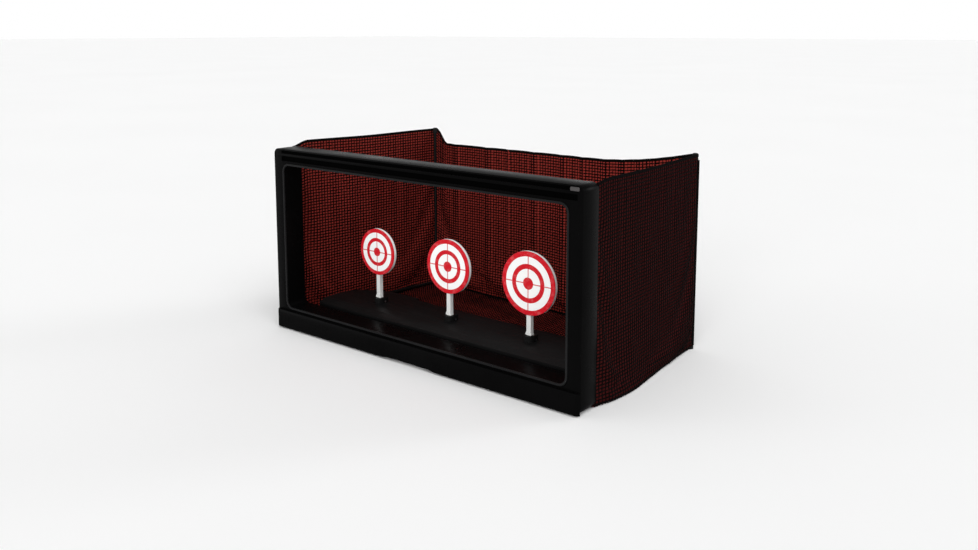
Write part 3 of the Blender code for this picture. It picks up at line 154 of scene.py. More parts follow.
def spread(tree, value, low, high, start=0.3, end=0.7):
    """Maps a texture's value from start..end to low..high."""
    made = tree.nodes.new("ShaderNodeMapRange")
    for key, number in (("From Min", start), ("From Max", end), ("To Min", low), ("To Max", high)):
        made.inputs[key].default_value = number
    tree.links.new(value, made.inputs["Value"])
    return made.outputs["Result"]


def mix(tree, share, first, second):
    """A colour between two colours or sockets."""
    made = tree.nodes.new("ShaderNodeMix")
    made.data_type = "RGBA"
    share_socket, first_socket, second_socket = (made.inputs[place] for place in MIX_COLOUR_SOCKETS)
    for socket, value in ((share_socket, share), (first_socket, first), (second_socket, second)):
        if isinstance(value, bpy.types.NodeSocket):
            tree.links.new(value, socket)
        elif isinstance(value, tuple):
            socket.default_value = (*value, 1.0)
        else:
            socket.default_value = value
    return made.outputs[MIX_COLOUR_RESULT]


def bump(tree, shader, height, strength, distance, below=None):
    made = node(tree, "ShaderNodeBump", Strength=strength, Distance=distance)
    tree.links.new(height, made.inputs["Height"])
    if below is not None:
        tree.links.new(below, made.inputs["Normal"])
    tree.links.new(made.outputs["Normal"], shader.inputs["Normal"])
    return made.outputs["Normal"]


SLOW_SHEEN = 0.08  # how far the plastics' roughness wanders over a piece
FINE_SHEEN = 0.03  # and from speck to speck


def moulded(name, colour, roughness, specular, grain=1500.0, grain_depth=0.00004, dust=1.7):
    """Injection-moulded plastic: spark-eroded grain, slow sheen changes, faint handling marks and dust."""
    made, tree, shader = new_material(name)
    where = tree.nodes.new("ShaderNodeTexCoord").outputs["Object"]
    cloud = noise_node(tree, where, scale=16.0, detail=4.0, roughness=0.6)
    specks = noise_node(tree, where, scale=420.0, detail=2.0)
    brighter = tuple(min(1.0, channel * dust) for channel in colour)
    marks = spread(tree, cloud, low=0.0, high=1.0, start=0.35, end=0.75)
    tree.links.new(mix(tree, marks, colour, brighter), shader.inputs["Base Color"])
    rough = tree.nodes.new("ShaderNodeMath")
    slow = spread(tree, cloud, low=roughness - SLOW_SHEEN, high=roughness + SLOW_SHEEN)
    tree.links.new(slow, rough.inputs[0])
    tree.links.new(spread(tree, specks, low=-FINE_SHEEN, high=FINE_SHEEN), rough.inputs[1])
    tree.links.new(rough.outputs[0], shader.inputs["Roughness"])
    shader.inputs["Specular IOR Level"].default_value = specular
    sparks = noise_node(tree, where, grain, detail=2.0)
    waves = noise_node(tree, where, scale=34.0, detail=2.0)
    fine = bump(tree, shader, sparks, strength=0.35, distance=grain_depth)
    bump(tree, shader, waves, strength=0.12, distance=0.0003, below=fine)
    return made


METAL_DULL = 0.55  # a tarnished spot's brightness
METAL_SHEEN = (0.06, 0.12)  # how much smoother and rougher the fine lines are


def metal(name, colour, roughness, stretch=(1.0, 1.0, 1.0)):
    """Drawn or stamped metal with fine lines and a little tarnish."""
    made, tree, shader = new_material(name)
    where = tree.nodes.new("ShaderNodeTexCoord").outputs["Object"]
    turned = node(tree, "ShaderNodeMapping", Scale=stretch)
    tree.links.new(where, turned.inputs["Vector"])
    lines = noise_node(tree, turned.outputs["Vector"], scale=900.0, detail=3.0)
    patches = noise_node(tree, where, scale=60.0, detail=4.0)
    tarnish = spread(tree, patches, low=0.0, high=0.6, start=0.45, end=0.8)
    dull = tuple(channel * METAL_DULL for channel in colour)
    tree.links.new(mix(tree, tarnish, colour, dull), shader.inputs["Base Color"])
    smoother, rougher = METAL_SHEEN
    drawn = spread(tree, lines, low=roughness - smoother, high=roughness + rougher)
    tree.links.new(drawn, shader.inputs["Roughness"])
    shader.inputs["Metallic"].default_value = 1.0
    bump(tree, shader, lines, strength=0.2, distance=0.00003)
    return made


WEAVE_DYE = 0.72  # the brightness of unevenly dyed patches, as a share
NYLON_SPECULAR = 0.02
NYLON_SHEEN = 0.01
YARN_FADE = 2.2  # how many times lighter worn yarn is


def cloth(name, colour, deep, thread_scale):
    """Plain woven nylon: two crossed sets of fine yarns in height, whose hollows get a darker colour as
    painted shade, with fuzz and uneven dye.
    """
    made, tree, shader = new_material(name)
    where = tree.nodes.new("ShaderNodeTexCoord").outputs["UV"]
    yarns = []
    for direction in ("X", "Y"):
        yarn = node(tree, "ShaderNodeTexWave", Scale=thread_scale, Distortion=0.6, Detail=1.0)
        yarn.bands_direction = direction
        tree.links.new(where, yarn.inputs["Vector"])
        yarns.append(yarn.outputs["Fac"])
    weave = node(tree, "ShaderNodeMath", operation="MULTIPLY")
    for socket, yarn in zip(weave.inputs, yarns):
        tree.links.new(yarn, socket)
    space = tree.nodes.new("ShaderNodeTexCoord").outputs["Object"]
    dye = spread(tree, noise_node(tree, space, scale=22.0, detail=4.0), low=0.0, high=1.0)
    lit = mix(tree, dye, colour, tuple(channel * WEAVE_DYE for channel in colour))
    # Where the weave is low the colour turns to the darker one: painted shade in the weave's hollows.
    tree.links.new(mix(tree, weave.outputs[0], deep, lit), shader.inputs["Base Color"])
    fuzz = noise_node(tree, space, scale=800.0, detail=2.0)
    tree.links.new(spread(tree, fuzz, low=0.72, high=0.95), shader.inputs["Roughness"])
    shader.inputs["Specular IOR Level"].default_value = NYLON_SPECULAR
    shader.inputs["Sheen Weight"].default_value = NYLON_SHEEN
    shader.inputs["Sheen Roughness"].default_value = 0.5
    shader.inputs["Sheen Tint"].default_value = (*colour, 1.0)
    bump(tree, shader, weave.outputs[0], strength=0.5, distance=0.00015)
    return made


def yarn_material(name, colour):
    """Round black nylon yarn with a twist."""
    made, tree, shader = new_material(name)
    where = tree.nodes.new("ShaderNodeTexCoord").outputs["Object"]
    twist = node(tree, "ShaderNodeTexWave", Scale=520.0, Distortion=2.0, Detail=1.0)
    twist.bands_direction = "DIAGONAL"
    tree.links.new(where, twist.inputs["Vector"])
    faded = tuple(channel * YARN_FADE for channel in colour)
    worn = noise_node(tree, where, scale=90.0, detail=3.0)
    share = spread(tree, worn, low=0.0, high=0.7, start=0.45, end=0.75)
    tree.links.new(mix(tree, share, colour, faded), shader.inputs["Base Color"])
    rough = spread(tree, twist.outputs["Fac"], low=0.5, high=0.75, start=0.0, end=1.0)
    tree.links.new(rough, shader.inputs["Roughness"])
    shader.inputs["Specular IOR Level"].default_value = NYLON_SPECULAR
    bump(tree, shader, twist.outputs["Fac"], strength=0.3, distance=0.00005)
    return made


def printed_disc(name, radius):
    """Moulded white plastic with printed red rings, a bull and a thin cross, by place on the disc."""
    made, tree, shader = new_material(name)
    where = tree.nodes.new("ShaderNodeTexCoord").outputs["Object"]
    apart = tree.nodes.new("ShaderNodeSeparateXYZ")
    tree.links.new(where, apart.inputs[0])
    wobble = noise_node(tree, where, scale=260.0, detail=2.0)

    def math_node(kind, first, second=None):
        step = tree.nodes.new("ShaderNodeMath")
        step.operation = kind
        for socket, value in zip(step.inputs, (first, second)):
            if isinstance(value, bpy.types.NodeSocket):
                tree.links.new(value, socket)
            elif value is not None:
                socket.default_value = value
        return step.outputs[0]

    flat = tree.nodes.new("ShaderNodeCombineXYZ")
    tree.links.new(apart.outputs["X"], flat.inputs["X"])
    tree.links.new(apart.outputs["Z"], flat.inputs["Z"])
    length = node(tree, "ShaderNodeVectorMath", operation="LENGTH")
    tree.links.new(flat.outputs[0], length.inputs[0])
    share = math_node("DIVIDE", length.outputs["Value"], radius)
    bull, inner, outer, rim = RING_EDGES
    ink = math_node("LESS_THAN", share, bull)
    for low, high in ((inner, outer), (rim, BEYOND_RIM)):
        beyond, within = math_node("GREATER_THAN", share, low), math_node("LESS_THAN", share, high)
        ink = math_node("MAXIMUM", ink, math_node("MULTIPLY", beyond, within))
    lines = None
    for axis in ("X", "Z"):
        near = math_node("LESS_THAN", math_node("ABSOLUTE", apart.outputs[axis]), CROSS_HALF)
        lines = near if lines is None else math_node("MAXIMUM", lines, near)
    front = math_node("LESS_THAN", apart.outputs["Y"], PRINT_FRONT)
    ink = math_node("MULTIPLY", math_node("MAXIMUM", ink, math_node("MULTIPLY", lines, CROSS_INK)), front)
    worn = spread(tree, wobble, low=0.93, high=1.0, start=0.25, end=0.5)
    ink = math_node("MULTIPLY", ink, worn)
    spots = noise_node(tree, where, scale=40.0, detail=5.0)
    soil = spread(tree, spots, low=0.0, high=0.35, start=0.5, end=0.8)
    base = mix(tree, soil, DISC_WHITE, tuple(channel * DISC_SOIL for channel in DISC_WHITE))
    tree.links.new(mix(tree, ink, base, DISC_RED), shader.inputs["Base Color"])
    rough = spread(tree, ink, low=0.36, high=0.5, start=0.0, end=1.0)
    tree.links.new(rough, shader.inputs["Roughness"])
    shader.inputs["Specular IOR Level"].default_value = DISC_SPECULAR
    first = bump(tree, shader, ink, strength=0.25, distance=0.00003)
    bump(tree, shader, wobble, strength=0.1, distance=0.00004, below=first)
    return made


BLACK = moulded("black_plastic", (0.0018, 0.00175, 0.0018), 0.30, 0.013, dust=1.35)
DARK = moulded("dark_plastic", (0.0020, 0.0019, 0.0020), 0.50, 0.02, dust=1.35)
BASE_BLACK = moulded("base_plastic", (0.0060, 0.0058, 0.0059), 0.42, 0.05, dust=1.35)
# Near-black matt finish for the strips in the frame's top grooves: painted shade, not a real part.
SHADOW = moulded("groove_painted_shade", (0.0006, 0.0006, 0.0006), 0.80, 0.005, dust=1.5)
GREY = moulded("grey_plastic", (0.0075, 0.0075, 0.0078), 0.36, 0.06)
CLIP = moulded("clip_plastic", (0.050, 0.046, 0.046), 0.40, 0.20)
WHITE = moulded("white_plastic", (0.78, 0.78, 0.77), 0.36, 0.40, dust=0.92)
GEARS = moulded("gear_plastic", (0.72, 0.70, 0.62), 0.42, 0.40, dust=0.9)
JACKET = moulded("cell_jacket", (0.04, 0.09, 0.28), 0.30, 0.45, dust=1.2)
BOARD = moulded("board_green", (0.015, 0.12, 0.045), 0.32, 0.45, dust=1.3)
WIRE = moulded("lead_jacket", (0.40, 0.02, 0.02), 0.45, 0.35, dust=1.2)
RUBBER = moulded("rubber", (0.006, 0.006, 0.006), 0.70, 0.08, grain=700.0, grain_depth=0.00012, dust=2.2)
COATED = moulded("coated_wire", (0.004, 0.004, 0.004), 0.42, 0.15)
STEEL = metal("steel", (0.56, 0.56, 0.57), 0.32, (1.0, 1.0, 8.0))
BRASS = metal("brass", (0.70, 0.52, 0.22), 0.32, (1.0, 8.0, 1.0))
NET_IN = cloth("net_lining", (0.370, 0.050, 0.038), (0.235, 0.025, 0.019), 220.0)
# The lining's outer face: its red darkened, painted shade on the outside of the net's walls.
NET_OUT_SHADED = cloth("net_outside_painted_shade", (0.058, 0.0080, 0.0075), (0.034, 0.0045, 0.0042), 220.0)
YARN = yarn_material("net_yarn", (0.0016, 0.0012, 0.0012))
TAPE = cloth("net_binding", (0.0050, 0.0040, 0.0040), (0.0025, 0.0020, 0.0020), 300.0)

FINISHES = {
    "black_plastic": BLACK, "dark_plastic": DARK, "grey_plastic": GREY, "white_plastic": WHITE,
    "target_face": WHITE, "net_mesh": NET_IN, "rubber": RUBBER, "steel": STEEL, "brass": BRASS,
    "gear_plastic": GEARS, "cell_jacket": JACKET, "board_green": BOARD, "lead_red": WIRE,
    "black_wire": COATED,
}  # fmt: skip
OWN_FINISH = {"corner_clip": CLIP, "base_cover": BASE_BLACK}
# Bevel widths of the moulded pieces that show, in metres.
EDGE_ROUNDING = {
    "front_frame": 0.0004, "kick_panel": 0.0008, "base_cover": 0.00035, "window_trim": 0.00025,
    "corner_clip": 0.0002, "retainer_ring": 0.0002, "base_plate": 0.0002, "battery_door": 0.0002,
    "target_1_stem": 0.0003, "target_2_stem": 0.0003, "target_3_stem": 0.0003, "switch_knob": 0.00015,
}  # fmt: skip
SHARP_ANGLE = math.radians(32)
WELD_DISTANCE = 0.00001
BEVEL_SEGMENTS = 2


def finish_cad_nodes():
    """Gives each CAD node its material, welds its split corners and rounds or splits its edges."""
    for part in frame["record"]["subparts"]:
        name = part["node"]
        shown = frame["nodes"][name]
        shown.data.materials.clear()
        shown.data.materials.append(OWN_FINISH.get(name, FINISHES[part["material_slot"]]))
        if "custom_normal" in shown.data.attributes:
            shown.data.attributes.remove(shown.data.attributes["custom_normal"])
        shown.data.shade_smooth()
        weld = shown.modifiers.new("weld", "WELD")
        weld.merge_threshold = WELD_DISTANCE
        if name in EDGE_ROUNDING:
            edge = shown.modifiers.new("rounded_edges", "BEVEL")
            edge.width = EDGE_ROUNDING[name]
            edge.segments = BEVEL_SEGMENTS
            edge.limit_method = "ANGLE"
            edge.angle_limit = SHARP_ANGLE
            edge.use_clamp_overlap = True
            edge.harden_normals = True
        else:
            split = shown.modifiers.new("sharp_edges", "EDGE_SPLIT")
            split.split_angle = SHARP_ANGLE


# ---- Mesh helpers ----
def piece(name, vertices, faces, material, smooth=True, body=HOUSING):
    mesh = bpy.data.meshes.new(name)
    mesh.from_pydata([tuple(v) for v in vertices], [], [tuple(f) for f in faces])
    mesh.materials.append(material)
    if smooth:
        mesh.shade_smooth()
    made = bpy.data.objects.new(name, mesh)
    bpy.context.scene.collection.objects.link(made)
    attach(made, body)
    return made


def clean(mesh, turn):
    """Takes away the points that no face uses and, on request, turns all faces outwards."""
    form = bmesh.new()
    form.from_mesh(mesh)
    bmesh.ops.delete(form, geom=[v for v in form.verts if not v.link_faces], context="VERTS")
    if turn:
        bmesh.ops.recalc_face_normals(form, faces=form.faces)
    form.to_mesh(mesh)
    form.free()


def grid_faces(rows, columns):
    """Quads of a grid whose points run along columns first."""
    corner = (np.arange(rows - 1)[:, None] * columns + np.arange(columns - 1)).ravel()
    return np.stack([corner, corner + 1, corner + columns + 1, corner + columns], 1)


class Panel:
    """One panel of the net: a grid of points (rows up or back, columns along) and how it was cut."""

    def __init__(self, name, points, outward, mask=None):
        self.name = name
        self.points = np.array(points, float)
        self.outward = np.array(outward, float)
        self.mask = mask
        self.width = float(np.linalg.norm(np.diff(self.points, axis=1), axis=2).sum(1).mean())
        self.height = float(np.linalg.norm(np.diff(self.points, axis=0), axis=2).sum(0).mean())

    def at(self, across, up):
        """Points at shares across and up the panel, read between the grid's points."""
        rows, columns = self.points.shape[:2]
        x = np.clip(across, 0, 1) * (columns - 1)
        y = np.clip(up, 0, 1) * (rows - 1)
        i, j = np.minimum(x.astype(int), columns - 2), np.minimum(y.astype(int), rows - 2)
        fx, fy = (x - i)[..., None], (y - j)[..., None]
        low = self.points[j, i] * (1 - fx) + self.points[j, i + 1] * fx
        high = self.points[j + 1, i] * (1 - fx) + self.points[j + 1, i + 1] * fx
        return low * (1 - fy) + high * fy


def settle(panel, pinned):
    """Lets the panel hang as slack cloth between its pinned edges; no point moves more than the cap."""
    rows, columns = panel.points.shape[:2]
    mesh = bpy.data.meshes.new("settling")
    mesh.from_pydata(panel.points.reshape(-1, 3).tolist(), [], grid_faces(rows, columns).tolist())
    made = bpy.data.objects.new("settling", mesh)
    bpy.context.scene.collection.objects.link(made)
    group = made.vertex_groups.new(name="pinned")
    group.add(np.flatnonzero(pinned.ravel()).tolist(), 1.0, "REPLACE")
    soft = made.modifiers.new("cloth", "CLOTH")
    soft.settings.quality = 6
    soft.settings.mass = 0.12
    soft.settings.tension_stiffness = 12.0
    soft.settings.compression_stiffness = 12.0
    soft.settings.shear_stiffness = 4.0
    soft.settings.bending_stiffness = 0.6
    soft.settings.air_damping = 3.0
    soft.settings.shrink_min = -CLOTH_SLACK
    soft.settings.vertex_group_mass = "pinned"
    soft.collision_settings.use_collision = False
    soft.point_cache.frame_start = 1
    soft.point_cache.frame_end = CLOTH_FRAMES
    scene = bpy.context.scene
    for step in range(1, CLOTH_FRAMES + 1):
        scene.frame_set(step)
    shown = made.evaluated_get(bpy.context.evaluated_depsgraph_get())
    moved = np.zeros(rows * columns * 3, np.float32)
    shown.data.vertices.foreach_get("co", moved)
    offset = moved.reshape(rows, columns, 3) - panel.points
    size = np.linalg.norm(offset, axis=2, keepdims=True)
    panel.points = panel.points + offset * np.minimum(1.0, CLOTH_CAP / np.maximum(size, TINY_MOVE))
    bpy.data.objects.remove(made)
    bpy.data.meshes.remove(mesh)
    scene.frame_set(1)


def normals_at(panel, across, up):
    """The panel's unit normals at shares across and up it, on its outward side."""
    along = panel.at(across + NORMAL_STEP, up) - panel.at(across - NORMAL_STEP, up)
    rise = panel.at(across, up + NORMAL_STEP) - panel.at(across, up - NORMAL_STEP)
    normal = np.cross(along, rise)
    normal /= np.maximum(np.linalg.norm(normal, axis=-1, keepdims=True), TINY)
    facing = np.sign((normal * panel.outward).sum(-1, keepdims=True))
    return normal * np.where(facing == 0, 1, facing)


def lining(panel):
    """The continuous cloth: its red inner face and its outer face, a cloth's thickness apart; the outer
    face is a darker copy of the same red, painted shade on the walls' outside.
    """
    rows, columns = round(panel.height / LINING_STEP), round(panel.width / LINING_STEP)
    across, up = np.meshgrid(np.linspace(0, 1, columns), np.linspace(0, 1, rows))
    points = panel.at(across, up)
    out = normals_at(panel, across, up) * CLOTH_THICKNESS / 2
    faces = grid_faces(rows, columns)
    if panel.mask is not None:
        middle = points.reshape(-1, 3)[faces].mean(1)
        faces = faces[[panel.mask(x, y) for x, y, _ in middle]]
    count = rows * columns
    edges = {}
    for a, b, c, d in faces:
        for start, end in ((a, b), (b, c), (c, d), (d, a)):
            if (end, start) in edges:
                del edges[(end, start)]
            else:
                edges[(start, end)] = True
    rim = [(start, start + count, end + count, end) for start, end in edges]
    inner, outer = (points - out).reshape(-1, 3), (points + out).reshape(-1, 3)
    shell = [*faces.tolist(), *(faces[:, ::-1] + count).tolist(), *rim]
    made = piece(panel.name, np.concatenate([inner, outer]), shell, NET_IN)
    made.data.materials.append(NET_OUT_SHADED)
    index = np.zeros(len(shell), np.int32)
    index[len(faces):] = 1
    made.data.polygons.foreach_set("material_index", index)
    layer = made.data.uv_layers.new(name="cloth")
    corner = np.zeros(len(made.data.loops), np.int32)
    made.data.loops.foreach_get("vertex_index", corner)
    corner %= count
    along = (corner % columns) / (columns - 1) * panel.width
    rise = (corner // columns) / (rows - 1) * panel.height
    layer.data.foreach_set("uv", np.stack([along, rise], 1).astype(np.float32).ravel())
    clean(made.data, turn=True)
    return made


def thread_tubes(lines, normals, radius):
    """Four-sided tubes along lines of points, all in one mesh: vertices and faces."""
    along = np.gradient(lines, axis=1)
    along /= np.maximum(np.linalg.norm(along, axis=2, keepdims=True), TINY)
    side = np.cross(along, normals)
    side /= np.maximum(np.linalg.norm(side, axis=2, keepdims=True), TINY)
    across, off = side * radius, normals * radius
    ring = np.stack([lines + across, lines + off, lines - across, lines - off], 2)
    sides = ring.shape[2]
    count, length = lines.shape[:2]
    start = (np.arange(count)[:, None] * length + np.arange(length - 1)).ravel() * sides
    faces = []
    for k in range(sides):
        near, far = start + k, start + (k + 1) % sides
        faces.append(np.stack([near, far, far + sides, near + sides], 1))
    return ring.reshape(-1, 3), np.concatenate(faces)


def threads(panel):
    """The black mesh that the lining shows through: yarns both ways, over and under each other."""
    made_points, made_faces, total = [], [], 0
    for along_width in (True, False):
        run, gap = (panel.width, panel.height) if along_width else (panel.height, panel.width)
        apart, step = (PITCH_UP, PITCH_ALONG) if along_width else (PITCH_ALONG, PITCH_UP)
        count, samples = round(gap / apart), round(run / step) + 1
        place = (np.arange(count) + 0.5) / count
        share = np.linspace(0, 1, samples)
        fixed, running = np.meshgrid(place, share, indexing="ij")
        across, up = (running, fixed) if along_width else (fixed, running)
        points, normals = panel.at(across, up), normals_at(panel, across, up)
        parity = (np.arange(count)[:, None] + np.arange(samples)[None, :]) % 2 * 2 - 1
        lift = parity * THREAD_RADIUS * THREAD_LIFT * (1 if along_width else -1)
        points = points + normals * lift[..., None]
        vertices, faces = thread_tubes(points, normals, THREAD_RADIUS)
        if panel.mask is not None:
            middle = vertices[faces].mean(1)
            faces = faces[[panel.mask(x, y) for x, y, _ in middle]]
        made_points.append(vertices)
        made_faces.append(faces + total)
        total += len(vertices)
    vertices, faces = np.concatenate(made_points), np.concatenate(made_faces).tolist()
    made = piece(f"{panel.name}_mesh", vertices, faces, YARN)
    clean(made.data, turn=False)
    return made


def strip(name, line, up, thick, high):
    """A soft binding of rounded section folded over a line of points."""
    along = np.gradient(line, axis=0)
    along /= np.maximum(np.linalg.norm(along, axis=1, keepdims=True), TINY)
    side = np.cross(along, np.broadcast_to(np.array(up, float), line.shape))
    side /= np.maximum(np.linalg.norm(side, axis=1, keepdims=True), TINY)
    rise = np.cross(side, along)
    ring = []
    for turn in np.linspace(0, 2 * math.pi, BINDING_SIDES, endpoint=False):
        up_share = np.sign(math.sin(turn)) * abs(math.sin(turn)) ** BINDING_SQUARENESS
        ring.append(line + side * (math.cos(turn) * thick / 2) + rise * (up_share * high / 2))
    vertices = np.stack(ring, 1).reshape(-1, 3)
    count = BINDING_SIDES
    faces = []
    for step in range(len(line) - 1):
        for k in range(count):
            a, b = step * count + k, step * count + (k + 1) % count
            faces.append((a, b, b + count, a + count))
    last = (len(line) - 1) * count
    faces.append(tuple(range(count))[::-1])
    faces.append(tuple(last + k for k in range(count)))
    made = piece(name, vertices, faces, TAPE)
    layer = made.data.uv_layers.new(name="cloth")
    corner = np.zeros(len(made.data.loops), np.int32)
    made.data.loops.foreach_get("vertex_index", corner)
    length = float(np.linalg.norm(np.diff(line, axis=0), axis=1).sum())
    uv = np.stack([(corner // count) / len(line) * length, (corner % count) / count * (thick + high)], 1)
    layer.data.foreach_set("uv", uv.astype(np.float32).ravel())
    return made


# ---- The net's places, read from the frame ----
FRAME_LOW, FRAME_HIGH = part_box("front_frame")
LEFT_CAP, RIGHT_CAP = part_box("rod_cap_left"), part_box("rod_cap_right")
REAR_LEFT = (LEFT_CAP[0] + LEFT_CAP[1]) / 2
REAR_RIGHT = (RIGHT_CAP[0] + RIGHT_CAP[1]) / 2
NET_FRONT = FRAME_HIGH.y - 0.0006
SIDE_X = FRAME_HIGH.x - 0.0016
CORNER_BACK = 0.0020  # how far the rear corners stand out behind the rods and to their sides
CORNER_OUT_LEFT = 0.0020
CORNER_OUT_RIGHT = 0.0022
RIM_TOP = LEFT_CAP[1].z - 0.0012
REAR_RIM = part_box("net_rear")[1].z - 0.0175
REAR_DROP = (0.012, 0.052)  # shares of the rear wall's width between which its rim drops
REAR_RISE = 0.0026  # along the level run of the rear rim
SWEEP_START = 0.66  # shares of the rear wall's width between which its rim sweeps up
SWEEP_END = 0.985
SWEEP_POWER = 1.9
RIM_START = 0.0008  # the side walls' rims start this far below the frame's top
FRONT_RISE_LEFT = 0.0048  # and soon run this far above it
FRONT_RISE_RIGHT = 0.0012
FRONT_RISE_RUN = 0.09  # a share of the wall's width
RIM_SAG = 0.0009
LEFT_BELLY = 0.0035  # how far the walls stand out of their flat places
RIGHT_LOW_BELLY = 0.0075
RIGHT_BELLY = 0.0015
REAR_BELLY = 0.0026
CREASES_ALONG = 28.0  # the folds' noise: steps for each metre along a wall and for its height
CREASES_UP = 2.3
FINE_CREASES_ALONG = 70.0
FINE_CREASES_UP = 4.0
FINE_CREASE_DEPTH = 0.35
FOLD_HOLD = 12  # folds are full from one twelfth of the width in from each side edge
PLEATS = (0.10, 0.24, 0.33, 0.43, 0.54, 0.62, 0.70, 0.76, 0.82, 0.87, 0.92)  # shares along the rear wall
PLEAT_DEPTH = 0.0030
PLEAT_WIDTH = 0.012  # a share of the wall's width
PLEAT_FOOT = 0.35  # a pleat's depth at the foot, as a share of that at the rim
BASE_LOW, BASE_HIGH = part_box("base_cover")
HOUSING_DEPTH = 0.006  # the motor housing stands out behind the base
HOUSING_TURN_X = -0.112  # the housing's curved side: its centre across and its depth
HOUSING_TURN_DEPTH = 0.038
HOUSING_TUCK = 0.90  # the cloth's edge under that curve, as a share of its size
FLOOR_TUCK = 0.0035  # the floor's cloth runs this far under the base unit
FLOOR_FOLD = 0.0026
FLOOR_FOLDS_ACROSS = 9.0  # the floor's noise: steps for each metre
FLOOR_FOLDS_SLANT = 14.0
FLOOR_FOLDS_DEEP = 16.0
FLOOR_SEED = 4.2
FLOOR_HOLD = 20  # folds are full from one twentieth of the way in from each edge
FLOOR_FLAT = 0.012  # and from this far off the base
GROOVE_FLOOR = FRAME_LOW.y + 0.0014
GROOVE_SHADE_FACES = (0.0003, 0.0001)  # the painted-shade strips' two faces, in front of the groove's floor
GROOVE_LEFT = FRAME_LOW.x + 0.0124
UPPER_GROOVE = (FRAME_HIGH.z - 0.0046, FRAME_HIGH.z - 0.0016)
UPPER_GROOVE_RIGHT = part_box("corner_clip")[0].x - 0.0004
LOWER_GROOVE = (FRAME_HIGH.z - 0.0126, FRAME_HIGH.z - 0.0078)
LOWER_GROOVE_RIGHT = FRAME_HIGH.x - 0.0058


def bell(value, middle, width):
    return math.exp(-(((value - middle) / width) ** 2))


def ease(value, start, end):
    share = min(1.0, max(0.0, (value - start) / (end - start)))
    return share * share * (3 - 2 * share)


def wall(name, start, end, hand, top, bulge):
    """A hanging wall between two plan points. hand is 1 where its outside is to the right of its run, or
    else -1, and top and bulge are functions of the shares along and up."""
    run = math.hypot(end[0] - start[0], end[1] - start[1])
    plan = Vector((end[0] - start[0], end[1] - start[1])).normalized()
    outward = (plan.y * hand, -plan.x * hand)
    columns, rows = round(run / CLOTH_STEP) + 1, round(RIM_TOP / CLOTH_STEP) + 1
    grid = []
    for j in range(rows):
        up = j / (rows - 1)
        row = []
        for i in range(columns):
            along = i / (columns - 1)
            height = CLOTH_LOW + (top(along) - CLOTH_LOW) * up
            stand = bulge(along, up)
            x = start[0] + (end[0] - start[0]) * along + outward[0] * stand
            y = start[1] + (end[1] - start[1]) * along + outward[1] * stand
            row.append((x, y, height))
        grid.append(row)
    panel = Panel(name, grid, (*outward, 0.0))
    pinned = np.ones((rows, columns), bool)
    pinned[1:-1, 1:-1] = False
    settle(panel, pinned)
    return panel


def folds(along, up, run, seed, depth):
    """Loose creases: noise drawn out along the height, with finer ones over it."""
    spot = Vector((along * run * CREASES_ALONG + seed, up * CREASES_UP + seed * 1.7, seed))
    drawn = noise.noise(spot) * depth
    spot = Vector((along * run * FINE_CREASES_ALONG, up * FINE_CREASES_UP + seed, seed + 9.0))
    fine = noise.noise(spot) * depth * FINE_CREASE_DEPTH
    held = min(1.0, along * FOLD_HOLD, (1 - along) * FOLD_HOLD)
    return (drawn + fine) * held


def side_top(rise):
    """The side walls' rim leaves the frame just below its top, rises soon, and runs to the rod's cap."""

    def top(along):
        front = FRAME_HIGH.z - RIM_START + (rise + RIM_START) * ease(along, 0.0, FRONT_RISE_RUN)
        sag = RIM_SAG * bell(along, middle=0.5, width=0.25)
        return front + (RIM_TOP - FRAME_HIGH.z - rise) * along - sag

    return top


def rear_top(along):
    """The rear rim drops steeply from the left post, rises slowly, and sweeps up to the right post."""
    left = (RIM_TOP - REAR_RIM) * (1 - ease(along, *REAR_DROP))
    sweep = min(1.0, max(0.0, (along - SWEEP_START) / (SWEEP_END - SWEEP_START))) ** SWEEP_POWER
    return REAR_RIM + left + REAR_RISE * along * (1 - sweep) + (RIM_TOP - REAR_RIM) * sweep


def left_bulge(along, up):
    """A light belly that grows towards the foot, with creases that die out at the rim."""
    sag = LEFT_BELLY * math.sin(math.pi * along) * (1 - up) ** 0.7
    creases = folds(along, up, run=0.21, seed=3.1, depth=0.0016) * (1 - up**6)
    return sag + creases


def right_bulge(along, up):
    """A belly low down near the frame and a light one all along, with creases that die out at the rim."""
    low = RIGHT_LOW_BELLY * bell(along, middle=0.28, width=0.30) * (1 - up) ** 2.2 * min(1.0, along * 9)
    long = RIGHT_BELLY * math.sin(math.pi * along) * (1 - up)
    creases = folds(along, up, run=0.19, seed=7.4, depth=0.0012) * (1 - up**6)
    return low + long + creases


def rear_bulge(along, up):
    """A shallow belly and gathered pleats, closer together towards the right."""
    wave = REAR_BELLY * math.sin(math.pi * along) * math.sin(math.pi * up * 0.9)
    pleats = 0.0
    for middle in PLEATS:
        pleats -= PLEAT_DEPTH * bell(along, middle, PLEAT_WIDTH) * (PLEAT_FOOT + (1 - PLEAT_FOOT) * up)
    return wave + pleats + folds(along, up, run=0.36, seed=12.6, depth=0.0016)


def floor_mask(x, y):
    """True where the floor's cloth lies: all but the middle of the base unit's footprint."""
    if x <= BASE_LOW.x + FLOOR_TUCK or x >= BASE_HIGH.x - FLOOR_TUCK:
        return True
    if y > BASE_HIGH.y - HOUSING_DEPTH - FLOOR_TUCK:
        return True
    across, deep = HOUSING_TURN_X - x, y - (BASE_HIGH.y - HOUSING_TURN_DEPTH)
    if across < 0 or deep < 0:
        return False
    reach = math.hypot(across / (HOUSING_TURN_X - BASE_LOW.x), deep / HOUSING_TURN_DEPTH)
    return reach > HOUSING_TUCK


